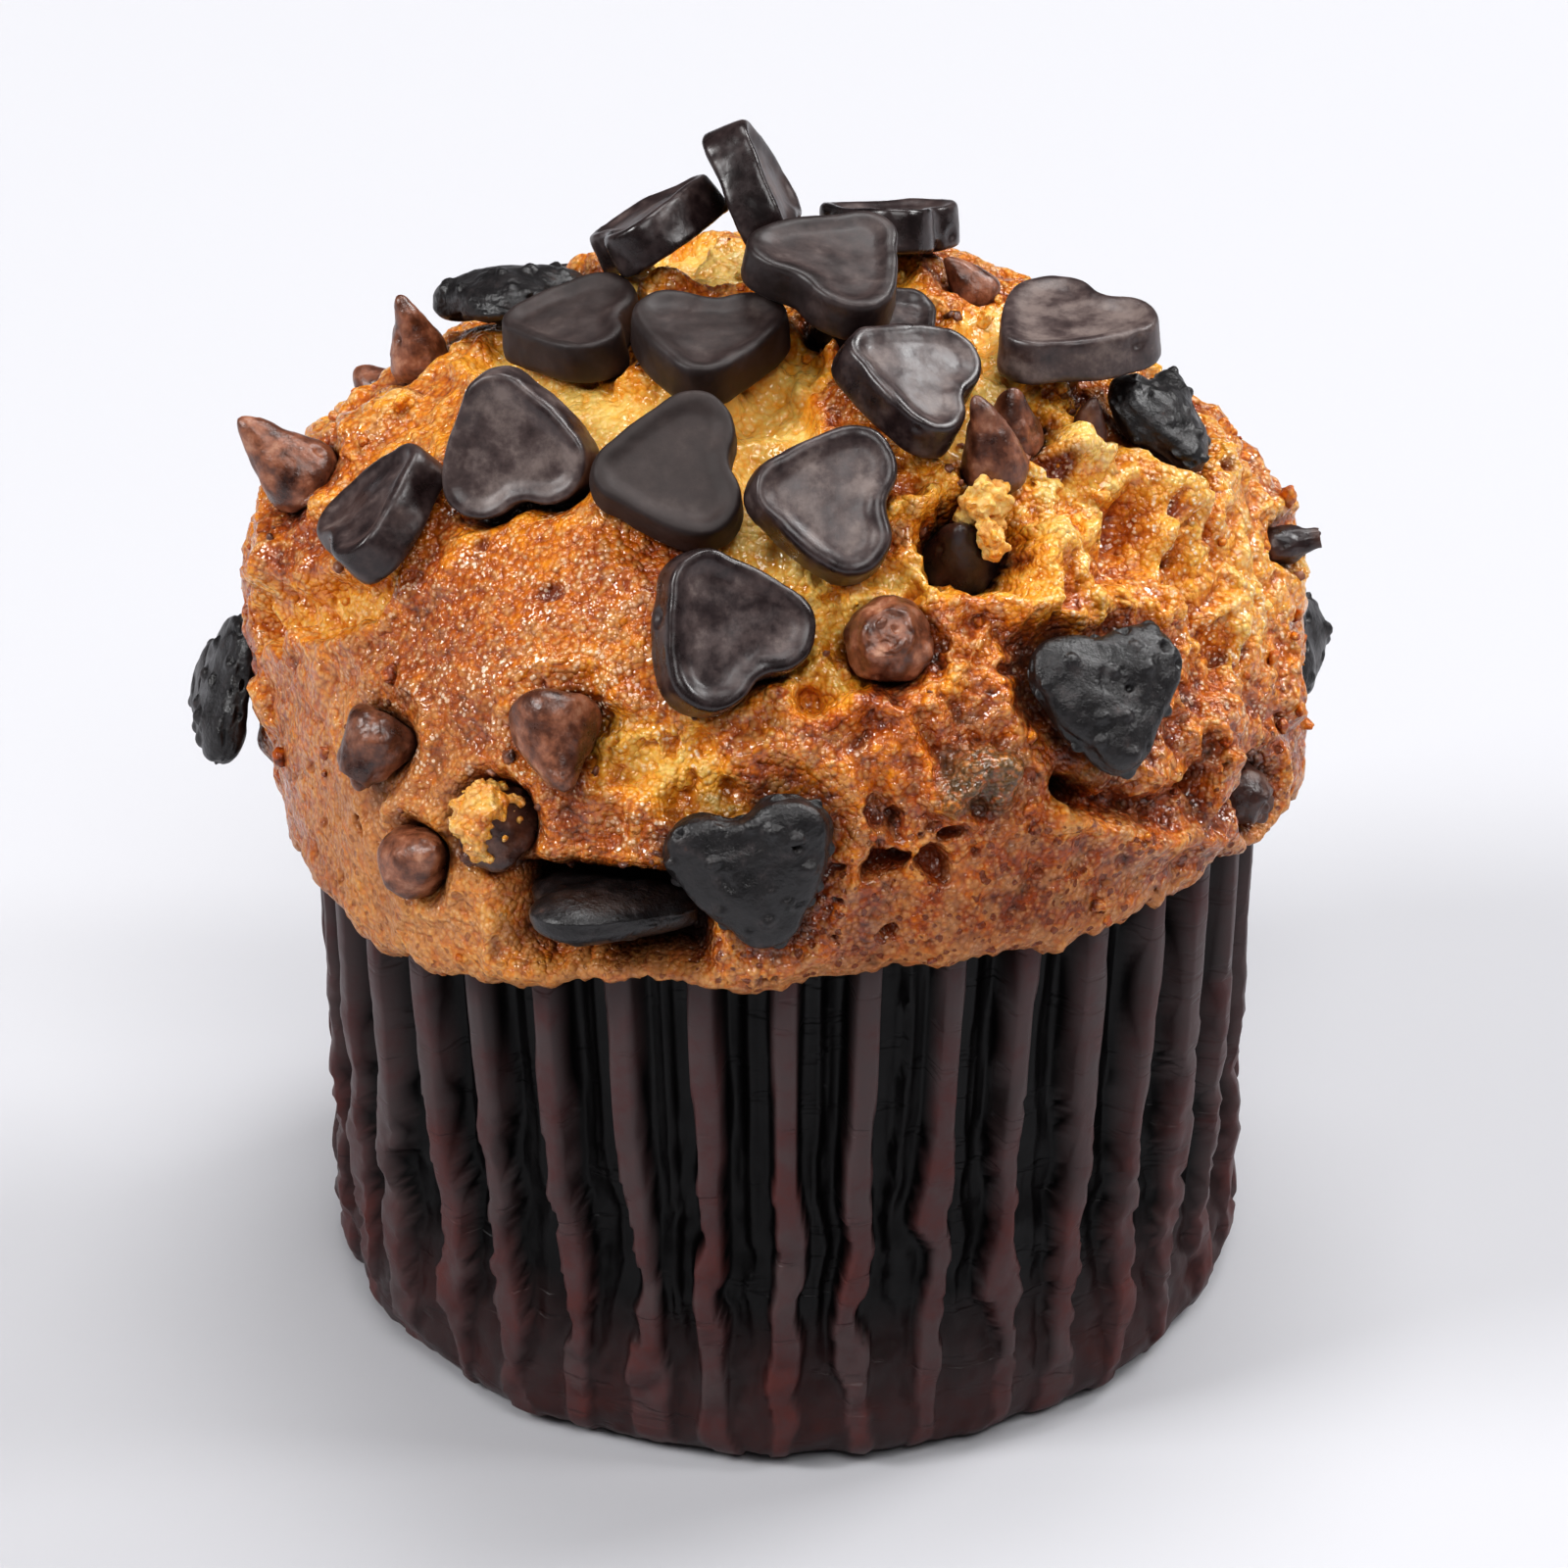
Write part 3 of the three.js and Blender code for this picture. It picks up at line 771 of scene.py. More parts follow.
    store(dome, "soft", 0.7 * soft)
    store(dome, "porous", porous)
    # painted shade: near black in the deepest holes and in the beds under the toppings
    store(dome, "hollow_shade", np.maximum(hollow_shade, hidden))
    # pits and pores: painted darker inside, partly as shade
    store(dome, "pit", np.maximum(pits, pores))
    # painted highlight: where the lamps' glints fall, pale glint dots are painted into the crust's colour
    glint_paint = around(azimuth, elevation, (-36, 27), 15) + 0.9 * around(azimuth, elevation, (66, 34), 25)
    glint_paint += 0.4 * around(azimuth, elevation, (-50, 44), 12) + 0.3 * around(azimuth, elevation, (-72, 36), 14)
    glint_paint += 0.6 * around(azimuth, elevation, (-14, 24), 8)
    glint_paint = np.clip(glint_paint, 0, 1) * smoothstep(-0.3, 0.5, lumps(base, 3.0, 2, 19)) + 0.05
    store(dome, "glint_paint", glint_paint)
    matt = around(azimuth, elevation, (-50, 2), 24) + around(azimuth, elevation, (24, 2), 18) + near_lip
    store(dome, "gloss", 1 - 0.8 * np.clip(matt, 0, 1) - 0.8 * hidden)
    patchy = smoothstep(-0.1, 0.5, lumps(base, 1.8, 3, 45))
    pale = 0.75 * around(azimuth, elevation, (-48, 4), 20)
    pale = np.maximum(pale, 0.8 * patchy * around(azimuth, elevation, (26, 4), 24))
    store(dome, "dry", np.maximum(np.maximum(near_lip, 0.2 * ridges), pale) * (1 - crumb))
    dusty_lump = 1 - smoothstep(2.0, 3.6, spot_distance(twisted, *DUSTY_LUMP))
    store(dome, "ash", dusty_lump)
    close_underside(dome)
    finish_piece(dome, "crust", crust_material(), "crust", "muffin")
    return dome


def close_underside(dome):
    """Carries the lip's edge in under itself and down inside the case, and closes the base."""
    select_only(dome)
    bpy.ops.object.mode_set(mode="EDIT")
    bpy.ops.mesh.select_all(action="DESELECT")
    bpy.ops.mesh.select_mode(type="EDGE")
    bpy.ops.mesh.select_non_manifold(extend=False, use_boundary=True, use_wire=False)
    middle = tuple(DOME_CENTRE * MM)
    for shrink, drop in ((0.962, 0.4), (0.87, 0.1), (0.99, -30.0), (0.93, -3.4)):
        bpy.ops.mesh.extrude_edges_move()
        bpy.ops.transform.resize(value=(shrink, shrink, 1), center_override=middle)
        bpy.ops.transform.translate(value=(0, 0, drop * MM))
    bpy.ops.transform.resize(value=(1, 1, 0), center_override=(0, 0, 1.0 * MM))
    bpy.ops.mesh.edge_face_add()
    bpy.ops.mesh.select_all(action="SELECT")
    bpy.ops.mesh.quads_convert_to_tris()
    bpy.ops.object.mode_set(mode="OBJECT")


def crust_material():
    """Baked sponge: a tan film full of tiny bubbles, torn open over moist amber crumb.

    Fat and sugar leave both of them glossy, so every bubble carries its own glint.
    """
    material, tree, shader, place = new_material("baked_muffin_crust")
    names = ("bake", "moist", "soft", "dry", "porous", "pit", "hollow_shade", "glint_paint", "gloss", "ash")
    stored = {
        name: add_node(tree, "ShaderNodeAttribute", attribute_name=name).outputs["Fac"] for name in names
    }
    foam = add_node(
        tree, "ShaderNodeTexNoise", {"Vector": place, "Scale": 1 / (0.9 * MM), "Detail": 2, "Roughness": 0.6}
    ).outputs["Fac"]
    froth = add_node(
        tree, "ShaderNodeMix", {0: stored["soft"], 2: foam, 3: 0.5}, data_type="FLOAT"
    ).outputs[0]
    blotch = add_node(
        tree, "ShaderNodeTexNoise", {"Vector": place, "Scale": 1 / (2.8 * MM), "Detail": 3, "Roughness": 0.6}
    ).outputs["Fac"]
    fine = add_node(
        tree, "ShaderNodeTexNoise", {"Vector": place, "Scale": 1 / (0.42 * MM), "Detail": 1}
    ).outputs["Fac"]
    bubbles = add_node(
        tree, "ShaderNodeTexVoronoi", {"Vector": place, "Scale": 1 / (0.85 * MM)}
    ).outputs["Distance"]
    grains = add_node(
        tree, "ShaderNodeTexVoronoi", {"Vector": place, "Scale": 1 / (0.42 * MM)}
    ).outputs["Distance"]

    # where the film holds, and where it is torn
    domed = add_node(
        tree, "ShaderNodeMath", {0: bubbles, 1: -0.35, 2: froth}, operation="MULTIPLY_ADD"
    ).outputs[0]
    granular = add_node(
        tree, "ShaderNodeMath", {0: grains, 1: -0.24, 2: domed}, operation="MULTIPLY_ADD"
    ).outputs[0]
    held = add_node(
        tree, "ShaderNodeMath", {0: stored["dry"], 1: 0.14, 2: granular}, operation="MULTIPLY_ADD"
    ).outputs[0]
    torn = add_node(
        tree, "ShaderNodeMath", {0: stored["moist"], 1: -0.17, 2: held}, operation="MULTIPLY_ADD"
    ).outputs[0]
    film = add_node(
        tree,
        "ShaderNodeMapRange",
        {"Value": torn, "From Min": 0.13, "From Max": 0.29, "To Max": 0.72},
        interpolation_type="SMOOTHSTEP",
    ).outputs["Result"]

    # how far each spot is baked
    patchy = add_node(
        tree, "ShaderNodeMath", {0: blotch, 1: 0.34, 2: stored["bake"]}, operation="MULTIPLY_ADD"
    ).outputs[0]
    mottled = add_node(
        tree, "ShaderNodeMath", {0: grains, 1: 0.22, 2: patchy}, operation="MULTIPLY_ADD"
    ).outputs[0]
    uneven = add_node(
        tree, "ShaderNodeMath", {0: froth, 1: 0.46, 2: mottled}, operation="MULTIPLY_ADD"
    ).outputs[0]
    level = add_node(tree, "ShaderNodeMath", {0: uneven, 1: -0.53}, operation="ADD").outputs[0]
    amber = add_node(
        tree,
        "ShaderNodeValToRGB",
        {"Fac": level},
        [
            (0.0, "#F0C870"),
            (0.18, "#F0A838"),
            (0.35, "#E0881A"),
            (0.50, "#C2660E"),
            (0.68, "#9C4409"),
            (0.85, "#702C08"),
            (1.0, "#401C0B"),
        ],
    ).outputs["Color"]
    tan = add_node(
        tree,
        "ShaderNodeValToRGB",
        {"Fac": level},
        [
            (0.0, "#F0CC88"),
            (0.18, "#E9B970"),
            (0.35, "#DCA55C"),
            (0.50, "#CC8E4A"),
            (0.68, "#B06E36"),
            (0.85, "#884A24"),
            (1.0, "#58321E"),
        ],
    ).outputs["Color"]
    skin = add_node(
        tree, "ShaderNodeMix", {0: film, 6: amber, 7: tan}, data_type="RGBA"
    ).outputs[2]
    dryness = add_node(
        tree, "ShaderNodeMath", {0: stored["dry"], 1: 0.6}, operation="MULTIPLY"
    ).outputs[0]
    dried = add_node(
        tree, "ShaderNodeMix", {0: dryness, 6: skin, 7: linear("#BC8858")}, data_type="RGBA"
    ).outputs[2]

    # ash-dark crumb dust on one lump; the red-brown inside of pores and pits, darker partly as painted shade;
    # and near-black painted shade in the beds under the toppings and in the deepest holes
    dust = add_node(
        tree,
        "ShaderNodeMapRange",
        {"Value": fine, "From Min": 0.30, "From Max": 0.62, "To Min": 0.35, "To Max": 0.9},
        interpolation_type="SMOOTHSTEP",
    ).outputs["Result"]
    dusting = add_node(
        tree, "ShaderNodeMath", {0: dust, 1: stored["ash"]}, operation="MULTIPLY"
    ).outputs[0]
    dusty = add_node(
        tree, "ShaderNodeMix", {0: dusting, 6: dried, 7: linear("#4C3B1E")}, data_type="RGBA"
    ).outputs[2]
    hole_size = add_node(
        tree, "ShaderNodeMath", {0: froth, 1: 1.3, 2: bubbles}, operation="MULTIPLY_ADD"
    ).outputs[0]
    pinholes = add_node(
        tree,
        "ShaderNodeMapRange",
        {"Value": hole_size, "From Min": 0.80, "From Max": 0.94, "To Min": 0.9, "To Max": 0.0},
        interpolation_type="SMOOTHSTEP",
    ).outputs["Result"]
    open_holes = add_node(
        tree, "ShaderNodeMath", {0: pinholes, 1: stored["porous"]}, operation="MULTIPLY"
    ).outputs[0]
    # pits and pores are painted darker red-brown, partly the crumb's own tone and partly painted shade
    pit = add_node(
        tree, "ShaderNodeMath", {0: open_holes, 1: stored["pit"]}, operation="MAXIMUM"
    ).outputs[0]
    pitted = add_node(
        tree, "ShaderNodeMix", {0: pit, 6: dusty, 7: linear("#73300F")}, data_type="RGBA"
    ).outputs[2]
    # painted shade: near black in the beds under the toppings and in the deepest holes
    shaded = add_node(
        tree, "ShaderNodeMix", {0: stored["hollow_shade"], 6: pitted, 7: linear("#2A120C")}, data_type="RGBA"
    ).outputs[2]

    # painted highlights: pale glint dots painted into the crust's colour where the lamps glint on it, drawn a
    # little coarser than real glints
    grain_size = add_node(
        tree, "ShaderNodeMath", {0: froth, 1: -1.0, 2: grains}, operation="MULTIPLY_ADD"
    ).outputs[0]
    painted_glint_dots = add_node(
        tree,
        "ShaderNodeMapRange",
        {"Value": grain_size, "From Min": -0.30, "From Max": -0.20, "To Min": 0.95, "To Max": 0.0},
        interpolation_type="SMOOTHSTEP",
    ).outputs["Result"]
    painted_glint_share = add_node(
        tree, "ShaderNodeMath", {0: painted_glint_dots, 1: stored["glint_paint"]}, operation="MULTIPLY"
    ).outputs[0]
    with_painted_glints = add_node(
        tree, "ShaderNodeMix", {0: painted_glint_share, 6: shaded, 7: linear("#FFEAD2")}, data_type="RGBA"
    ).outputs[2]
    tree.links.new(with_painted_glints, shader.inputs["Base Color"])

    rough = add_node(
        tree,
        "ShaderNodeMapRange",
        {"Value": blotch, "From Min": 0.3, "From Max": 0.7, "To Min": 0.34, "To Max": 0.50},
    ).outputs["Result"]
    tree.links.new(rough, shader.inputs["Roughness"])
    shader.inputs["Specular IOR Level"].default_value = 0.25
    shader.inputs["IOR"].default_value = 1.48
    shader.inputs["Subsurface Weight"].default_value = 0.2
    shader.inputs["Subsurface Radius"].default_value = (1.0, 0.45, 0.18)
    shader.inputs["Subsurface Scale"].default_value = 1.0 * MM

    # relief in millimetres: round bubbles of two sizes under the torn film, calmer where it is matt
    bubble = add_node(
        tree, "ShaderNodeMath", {0: bubbles, 1: bubbles}, operation="MULTIPLY"
    ).outputs[0]
    small_bubble = add_node(
        tree, "ShaderNodeMath", {0: grains, 1: grains}, operation="MULTIPLY"
    ).outputs[0]
    domes = add_node(
        tree, "ShaderNodeMath", {0: small_bubble, 1: 0.8, 2: bubble}, operation="MULTIPLY_ADD"
    ).outputs[0]
    sunk = add_node(
        tree, "ShaderNodeMath", {0: open_holes, 1: 0.7, 2: domes}, operation="MULTIPLY_ADD"
    ).outputs[0]
    rugged = add_node(
        tree, "ShaderNodeMath", {0: fine, 1: -0.5, 2: sunk}, operation="MULTIPLY_ADD"
    ).outputs[0]
    depth = add_node(
        tree, "ShaderNodeMapRange", {"Value": stored["gloss"], "To Min": -0.14, "To Max": -0.28}
    ).outputs["Result"]
    calmed = add_node(
        tree, "ShaderNodeMapRange", {"Value": stored["soft"], "To Min": depth, "To Max": -0.04}
    ).outputs["Result"]
    relief = add_node(
        tree, "ShaderNodeMath", {0: rugged, 1: calmed}, operation="MULTIPLY"
    ).outputs[0]
    grainy = add_node(
        tree, "ShaderNodeBump", {"Height": relief, "Strength": 1.0, "Distance": 1.0 * MM}
    ).outputs["Normal"]
    tree.links.new(grainy, shader.inputs["Normal"])

    # fat drawn to the surface: a clear wet film, drawn tight over the small bubbles, which flares
    # in the pools where it fills them
    patches = add_node(
        tree,
        "ShaderNodeMapRange",
        {"Value": blotch, "From Min": 0.36, "From Max": 0.52, "To Min": 0.35, "To Max": 1.0},
        interpolation_type="SMOOTHSTEP",
    ).outputs["Result"]
    wet = add_node(
        tree, "ShaderNodeMath", {0: patches, 1: stored["gloss"]}, operation="MULTIPLY"
    ).outputs[0]
    tree.links.new(wet, shader.inputs["Coat Weight"])
    tight = add_node(
        tree, "ShaderNodeMath", {0: domes, 1: -1.0, 2: froth}, operation="MULTIPLY_ADD"
    ).outputs[0]
    filled = add_node(
        tree,
        "ShaderNodeMapRange",
        {"Value": blotch, "From Min": 0.50, "From Max": 0.60, "To Min": 1.0, "To Max": 0.22},
        interpolation_type="SMOOTHSTEP",
    ).outputs["Result"]
    film_height = add_node(
        tree, "ShaderNodeMath", {0: tight, 1: filled}, operation="MULTIPLY"
    ).outputs[0]
    glints = add_node(
        tree, "ShaderNodeBump", {"Height": film_height, "Strength": 1.0, "Distance": 0.28 * MM}
    ).outputs["Normal"]
    tree.links.new(glints, shader.inputs["Coat Normal"])
    shader.inputs["Coat Roughness"].default_value = 0.10
    shader.inputs["Coat IOR"].default_value = 1.65
    return material


# ------------------------------------------------------------------ paper case
CASE_RADIUS = 33.7
PLEATS = 36
PLEAT_STEPS = 18  # columns in one pleat
CASE_ROWS = 62
PLEAT_DEPTH = 2.9
PLEAT_LEAN = 5.0
FOOT_RADIUS = 3.0
PAPER_THICKNESS = 0.12


def pleat_profile(turn):
    """Height of the pleat, 1 on its round fold and 0 in the groove, at a turn of 0 to 1."""
    x = np.abs((turn % 1) - 0.5) * 2
    fold = smoothstep(0.57, 0.72, x)
    crown = 0.10 * (1 - ((1 - x) / 0.42) ** 2)
    inner = 0.07 * (1 - smoothstep(0.0, 0.14, np.abs(x - 0.10)))
    return np.maximum(fold * (0.90 + crown), inner)


def make_case():
    columns = PLEATS * PLEAT_STEPS
    bpy.ops.object.select_all(action="DESELECT")
    bpy.ops.mesh.primitive_circle_add(vertices=columns, radius=CASE_RADIUS * MM, fill_type="NOTHING")
    case = bpy.context.object
    bpy.ops.object.mode_set(mode="EDIT")
    bpy.ops.mesh.select_all(action="SELECT")
    for _ in range(CASE_ROWS):
        bpy.ops.mesh.extrude_edges_move()
        bpy.ops.transform.translate(value=(0, 0, 0.75 * MM))
    bpy.ops.object.mode_set(mode="OBJECT")
    points = points_of(case)
    azimuth, _ = angles_of(points * (1, 1, 0))
    level = points[:, 2] / points[:, 2].max()
    level = 0.55 * level + 0.45 * level**1.6
    height = level * (rim_height(azimuth) + 0.1)
    low = 1 - level

    lean = PLEAT_LEAN * np.sin(np.radians(2 * azimuth)) * low
    ring = np.stack([np.sin(np.radians(azimuth)), np.cos(np.radians(azimuth))], axis=1) * CASE_RADIUS
    wander = lumps(np.column_stack([ring, height * 0.3]), 5.5, 2, 11) * (0.05 + 0.30 * low**1.2)
    wander += lumps(np.column_stack([ring, height * 0.8]), 3.4, 2, 14) * 0.16 * smoothstep(0.2, 0.7, low)
    turn = azimuth / 360 * PLEATS + wander
    profile = pleat_profile(turn)
    each = np.modf(np.abs(np.sin(np.floor(turn + 0.5) * 12.9898) * 43758.5453))[0]
    depth = PLEAT_DEPTH * (0.45 + 0.55 * smoothstep(0.0, 0.75, level)) * (0.84 + 0.32 * each)
    depth *= 0.30 + 0.70 * smoothstep(1, 8 + 6 * each, height)
    creases = lumps(np.column_stack([ring, height * 2.4]), 4.2, 3, 12)
    dents = lumps(np.column_stack([ring, height]), 6.5, 2, 13)
    soft = smoothstep(36, 10, height)
    pinch_away, pinch_label = cells(np.column_stack([ring, height * 2.2]), 6.0, 15)
    pinches = (1 - smoothstep(0.3, 1.5, pinch_away)) * (pinch_label > 0.35) * smoothstep(42, 30, height)
    radius = CASE_RADIUS - depth * (1 - profile) - 0.12
    radius -= (0.70 * soft * np.clip(creases, 0, 1) + 0.55 * pinches) * profile
    radius += 0.35 * soft * creases * (1 - profile)
    radius += 0.60 * dents * (0.15 + 0.85 * soft) - 0.4 * soft
    radius = np.minimum(radius, CASE_RADIUS)
    foot = np.clip(height / FOOT_RADIUS, 0, 1)
    radius -= FOOT_RADIUS * 0.85 * (1 - np.sqrt(1 - (1 - foot) ** 2))
    out = directions(azimuth - lean, 0 * azimuth)
    points = out * radius[:, None]
    points[:, 2] = height
    set_points(case, points)
    # fold drives the painted groove shade: lighter near the foot, where the pleats are shallow
    store(case, "fold", np.maximum(profile, 0.30 + 0.36 * smoothstep(16, 3, height)))
    store(case, "low", soft)
    close_case_base(case)
    apply_modifier(case, "SOLIDIFY", thickness=PAPER_THICKNESS * MM, offset=-1)
    finish_piece(case, "paper_case_pleated", paper_material(), "paper", "paper_case")
    return case


def close_case_base(case):
    """Runs the foot in to a flat base."""
    select_only(case)
    bottom = points_of(case)[:, 2] < 1e-3
    flat = [bool(bottom[a] and bottom[b]) for a, b in edges_of(case)]
    case.data.vertices.foreach_set("select", bottom)
    case.data.edges.foreach_set("select", flat)
    case.data.polygons.foreach_set("select", [False] * len(case.data.polygons))
    bpy.ops.object.mode_set(mode="EDIT")
    bpy.ops.mesh.select_mode(type="EDGE")
    for shrink in (0.93, 0.8, 0.6, 0.35):
        bpy.ops.mesh.extrude_edges_move()
        bpy.ops.transform.resize(value=(shrink, shrink, 0), center_override=(0, 0, 0))
    bpy.ops.mesh.merge(type="COLLAPSE")
    bpy.ops.mesh.select_all(action="SELECT")
    bpy.ops.mesh.normals_make_consistent(inside=False)
    bpy.ops.object.mode_set(mode="OBJECT")


def paper_material():
    """Brown greaseproof paper: dense, calendered and oily, with a soft sheen on its folds and painted shade
    in its grooves.
    """
    material, tree, shader, place = new_material("greaseproof_paper")
    low = add_node(tree, "ShaderNodeAttribute", attribute_name="low").outputs["Fac"]
    stain = add_node(
        tree,
        "ShaderNodeTexNoise",
        {"Vector": place, "Scale": 1 / (5 * MM), "Detail": 5, "Roughness": 0.65},
    ).outputs["Fac"]
    soaked = add_node(
        tree, "ShaderNodeMath", {0: low, 1: 0.14, 2: stain}, operation="MULTIPLY_ADD"
    ).outputs[0]
    tint = add_node(
        tree,
        "ShaderNodeValToRGB",
        {"Fac": soaked},
        [(0.36, "#4A3F3F"), (0.54, "#4E3D3D"), (0.66, "#503535"), (0.80, "#572E2B")],
    ).outputs["Color"]
    fold = add_node(tree, "ShaderNodeAttribute", attribute_name="fold").outputs["Fac"]
    crest = add_node(
        tree, "ShaderNodeMapRange", {"Value": fold, "From Min": 0.36, "From Max": 0.95}
    ).outputs["Result"]
    # painted shade: the grooves near black, the crests in the paper's own tint
    groove_shaded = add_node(
        tree, "ShaderNodeMix", {0: crest, 6: linear("#040203"), 7: tint}, data_type="RGBA"
    ).outputs[2]
    tree.links.new(groove_shaded, shader.inputs["Base Color"])
    rough = add_node(
        tree,
        "ShaderNodeMapRange",
        {"Value": stain, "From Min": 0.3, "From Max": 0.7, "To Min": 0.36, "To Max": 0.52},
    ).outputs["Result"]
    tree.links.new(rough, shader.inputs["Roughness"])
    shader.inputs["IOR"].default_value = 1.5
    shader.inputs["Specular IOR Level"].default_value = 0.27
    fibre = add_node(
        tree, "ShaderNodeTexNoise", {"Vector": place, "Scale": 1 / (0.6 * MM), "Detail": 3}
    ).outputs["Fac"]
    squashed = add_node(
        tree, "ShaderNodeMapping", {"Vector": place, "Scale": (0.3, 0.3, 1.6)}, vector_type="POINT"
    ).outputs["Vector"]
    kink = add_node(
        tree, "ShaderNodeTexNoise", {"Vector": squashed, "Scale": 1 / (2.0 * MM), "Detail": 2}
    ).outputs["Fac"]
    crease = add_node(
        tree,
        "ShaderNodeMapRange",
        {"Value": kink, "From Min": 0.60, "From Max": 0.68, "To Max": -2.5},
        interpolation_type="SMOOTHSTEP",
    ).outputs["Result"]
    surface = add_node(tree, "ShaderNodeMath", {0: fibre, 1: crease}, operation="ADD").outputs[0]
    dimple = add_node(
        tree, "ShaderNodeBump", {"Height": surface, "Strength": 0.5, "Distance": 0.06 * MM}
    ).outputs["Normal"]
    tree.links.new(dimple, shader.inputs["Normal"])
    return material


# ------------------------------------------------------------------ chocolate hearts
HEART_STEPS = 72
HEART_WIDTH = 12.0
HEART_DEPTH = 4.0
HEART_VOXEL = 0.24
PILLOW_REACH = 3.8
PILLOW_EDGE = 0.32
# Hearts that melted round: how far in from the outline the faces fall off, and the edge's height
MELTED_HEARTS = {"baked_heart_low": (5.6, 0.10)}
MELTED_RELIEF = 0.35
# Fresh hearts with a grey bloom and a painted sheen where they catch the light, and ones that lost their
# gloss, 0 to 1
BLOOM_AND_SHEEN_HEARTS = {
    "heart_left_face": 0.8,
    "heart_right_near": 0.3,
    "heart_right_far": 1.0,
    "heart_right_face": 0.4,
}
MATT_HEARTS = {"heart_mid_face": 1.0, "heart_left_crown": 0.8, "heart_mid_crown": 0.7, "heart_top_flat": 0.4}


def master_heart(dish, rim, rounding):
    """A moulded heart about the origin, its face up and notch towards +Y."""
    bpy.ops.object.select_all(action="DESELECT")
    bpy.ops.mesh.primitive_circle_add(vertices=HEART_STEPS, radius=1, fill_type="NGON")
    heart = bpy.context.object
    outline = heart_outline(HEART_STEPS) * HEART_WIDTH
    set_points(heart, np.column_stack([outline, np.full(HEART_STEPS, -HEART_DEPTH / 2)]))
    bpy.ops.object.mode_set(mode="EDIT")
    bpy.ops.mesh.select_all(action="SELECT")
    bpy.ops.mesh.normals_make_consistent(inside=False)
    bpy.ops.mesh.extrude_region_move(TRANSFORM_OT_translate={"value": (0, 0, HEART_DEPTH * MM)})
    bpy.ops.transform.resize(value=(0.95, 0.95, 1), center_override=(0, 0, 0))
    bpy.ops.mesh.inset(thickness=rim * MM)
    bpy.ops.mesh.inset(thickness=0.8 * MM, depth=-dish * MM)
    bpy.ops.mesh.select_all(action="SELECT")
    bpy.ops.mesh.normals_make_consistent(inside=False)
    bpy.ops.object.mode_set(mode="OBJECT")
    apply_modifier(heart, "BEVEL", width=rounding * MM, segments=4, limit_method="ANGLE", angle_limit=0.45)
    apply_modifier(heart, "REMESH", mode="VOXEL", voxel_size=HEART_VOXEL * MM)
    apply_modifier(heart, "SMOOTH", factor=0.5, iterations=12)
    return heart


def own_copy(master):
    """A copy of a master with its own mesh."""
    piece = master.copy()
    piece.data = master.data.copy()
    bpy.context.collection.objects.link(piece)
    return piece


def fitted(points, seat):
    """Centres a shaped topping and scales it to the size of its solid."""
    low, high = points.min(axis=0), points.max(axis=0)
    return (points - (low + high) / 2) / (high - low) * seat.size * FILL


def pillowed(points, rounding, edge):
    """Rounds a heart's two faces down towards its outline, as a piece that melted and swelled."""
    inside = -heart_distance(points[:, :2] / HEART_WIDTH) * HEART_WIDTH
    share = 1 - np.clip(inside / rounding, 0, 1)
    crown = edge + (1 - edge) * np.sqrt(1 - share**2)
    return points * np.column_stack([np.ones((len(points), 2)), crown])


def shape_fresh(points, spread):
    """A crisp moulded heart, a little uneven, with a soft nick or two on its edges."""
    change = 0.20 * lumps(spread, 4.5, 2, 23) + 0.035 * lumps(spread, 1.2, 2, 24)
    nicks, label = cells(spread, 5.0, 26)
    edge = smoothstep(-0.9, -0.2, heart_distance(points[:, :2] / HEART_WIDTH) * HEART_WIDTH)
    return change - 0.35 * (1 - smoothstep(0.4, 1.0, nicks)) * (label > 0.72) * edge


def shape_baked(points, spread):
    """A heart that swelled and dried in the oven: soft knobs, little craters and cracks."""
    knobs = lumps(spread, 4.2, 1, 22)
    away, label = cells(spread, 1.8, 3)
    blisters = np.clip(1 - (away / 0.65) ** 2, 0, 1) * (label > 0.42) * (0.5 + label)
    craters = (1 - smoothstep(0.22, 0.55, away)) * (label < 0.2)
    cracks = 1 - smoothstep(0.0, 0.06, np.abs(lumps(spread, 4.6, 1, 27)))
    cracks *= smoothstep(0.1, 0.3, lumps(spread, 3.0, 1, 28))
    wrinkles = 0.10 * lumps(spread, 1.5, 2, 30) + 0.02 * lumps(spread, 0.8, 2, 33)
    return 0.60 * knobs + 0.40 * blisters - 0.80 * craters - 0.32 * cracks + wrinkles


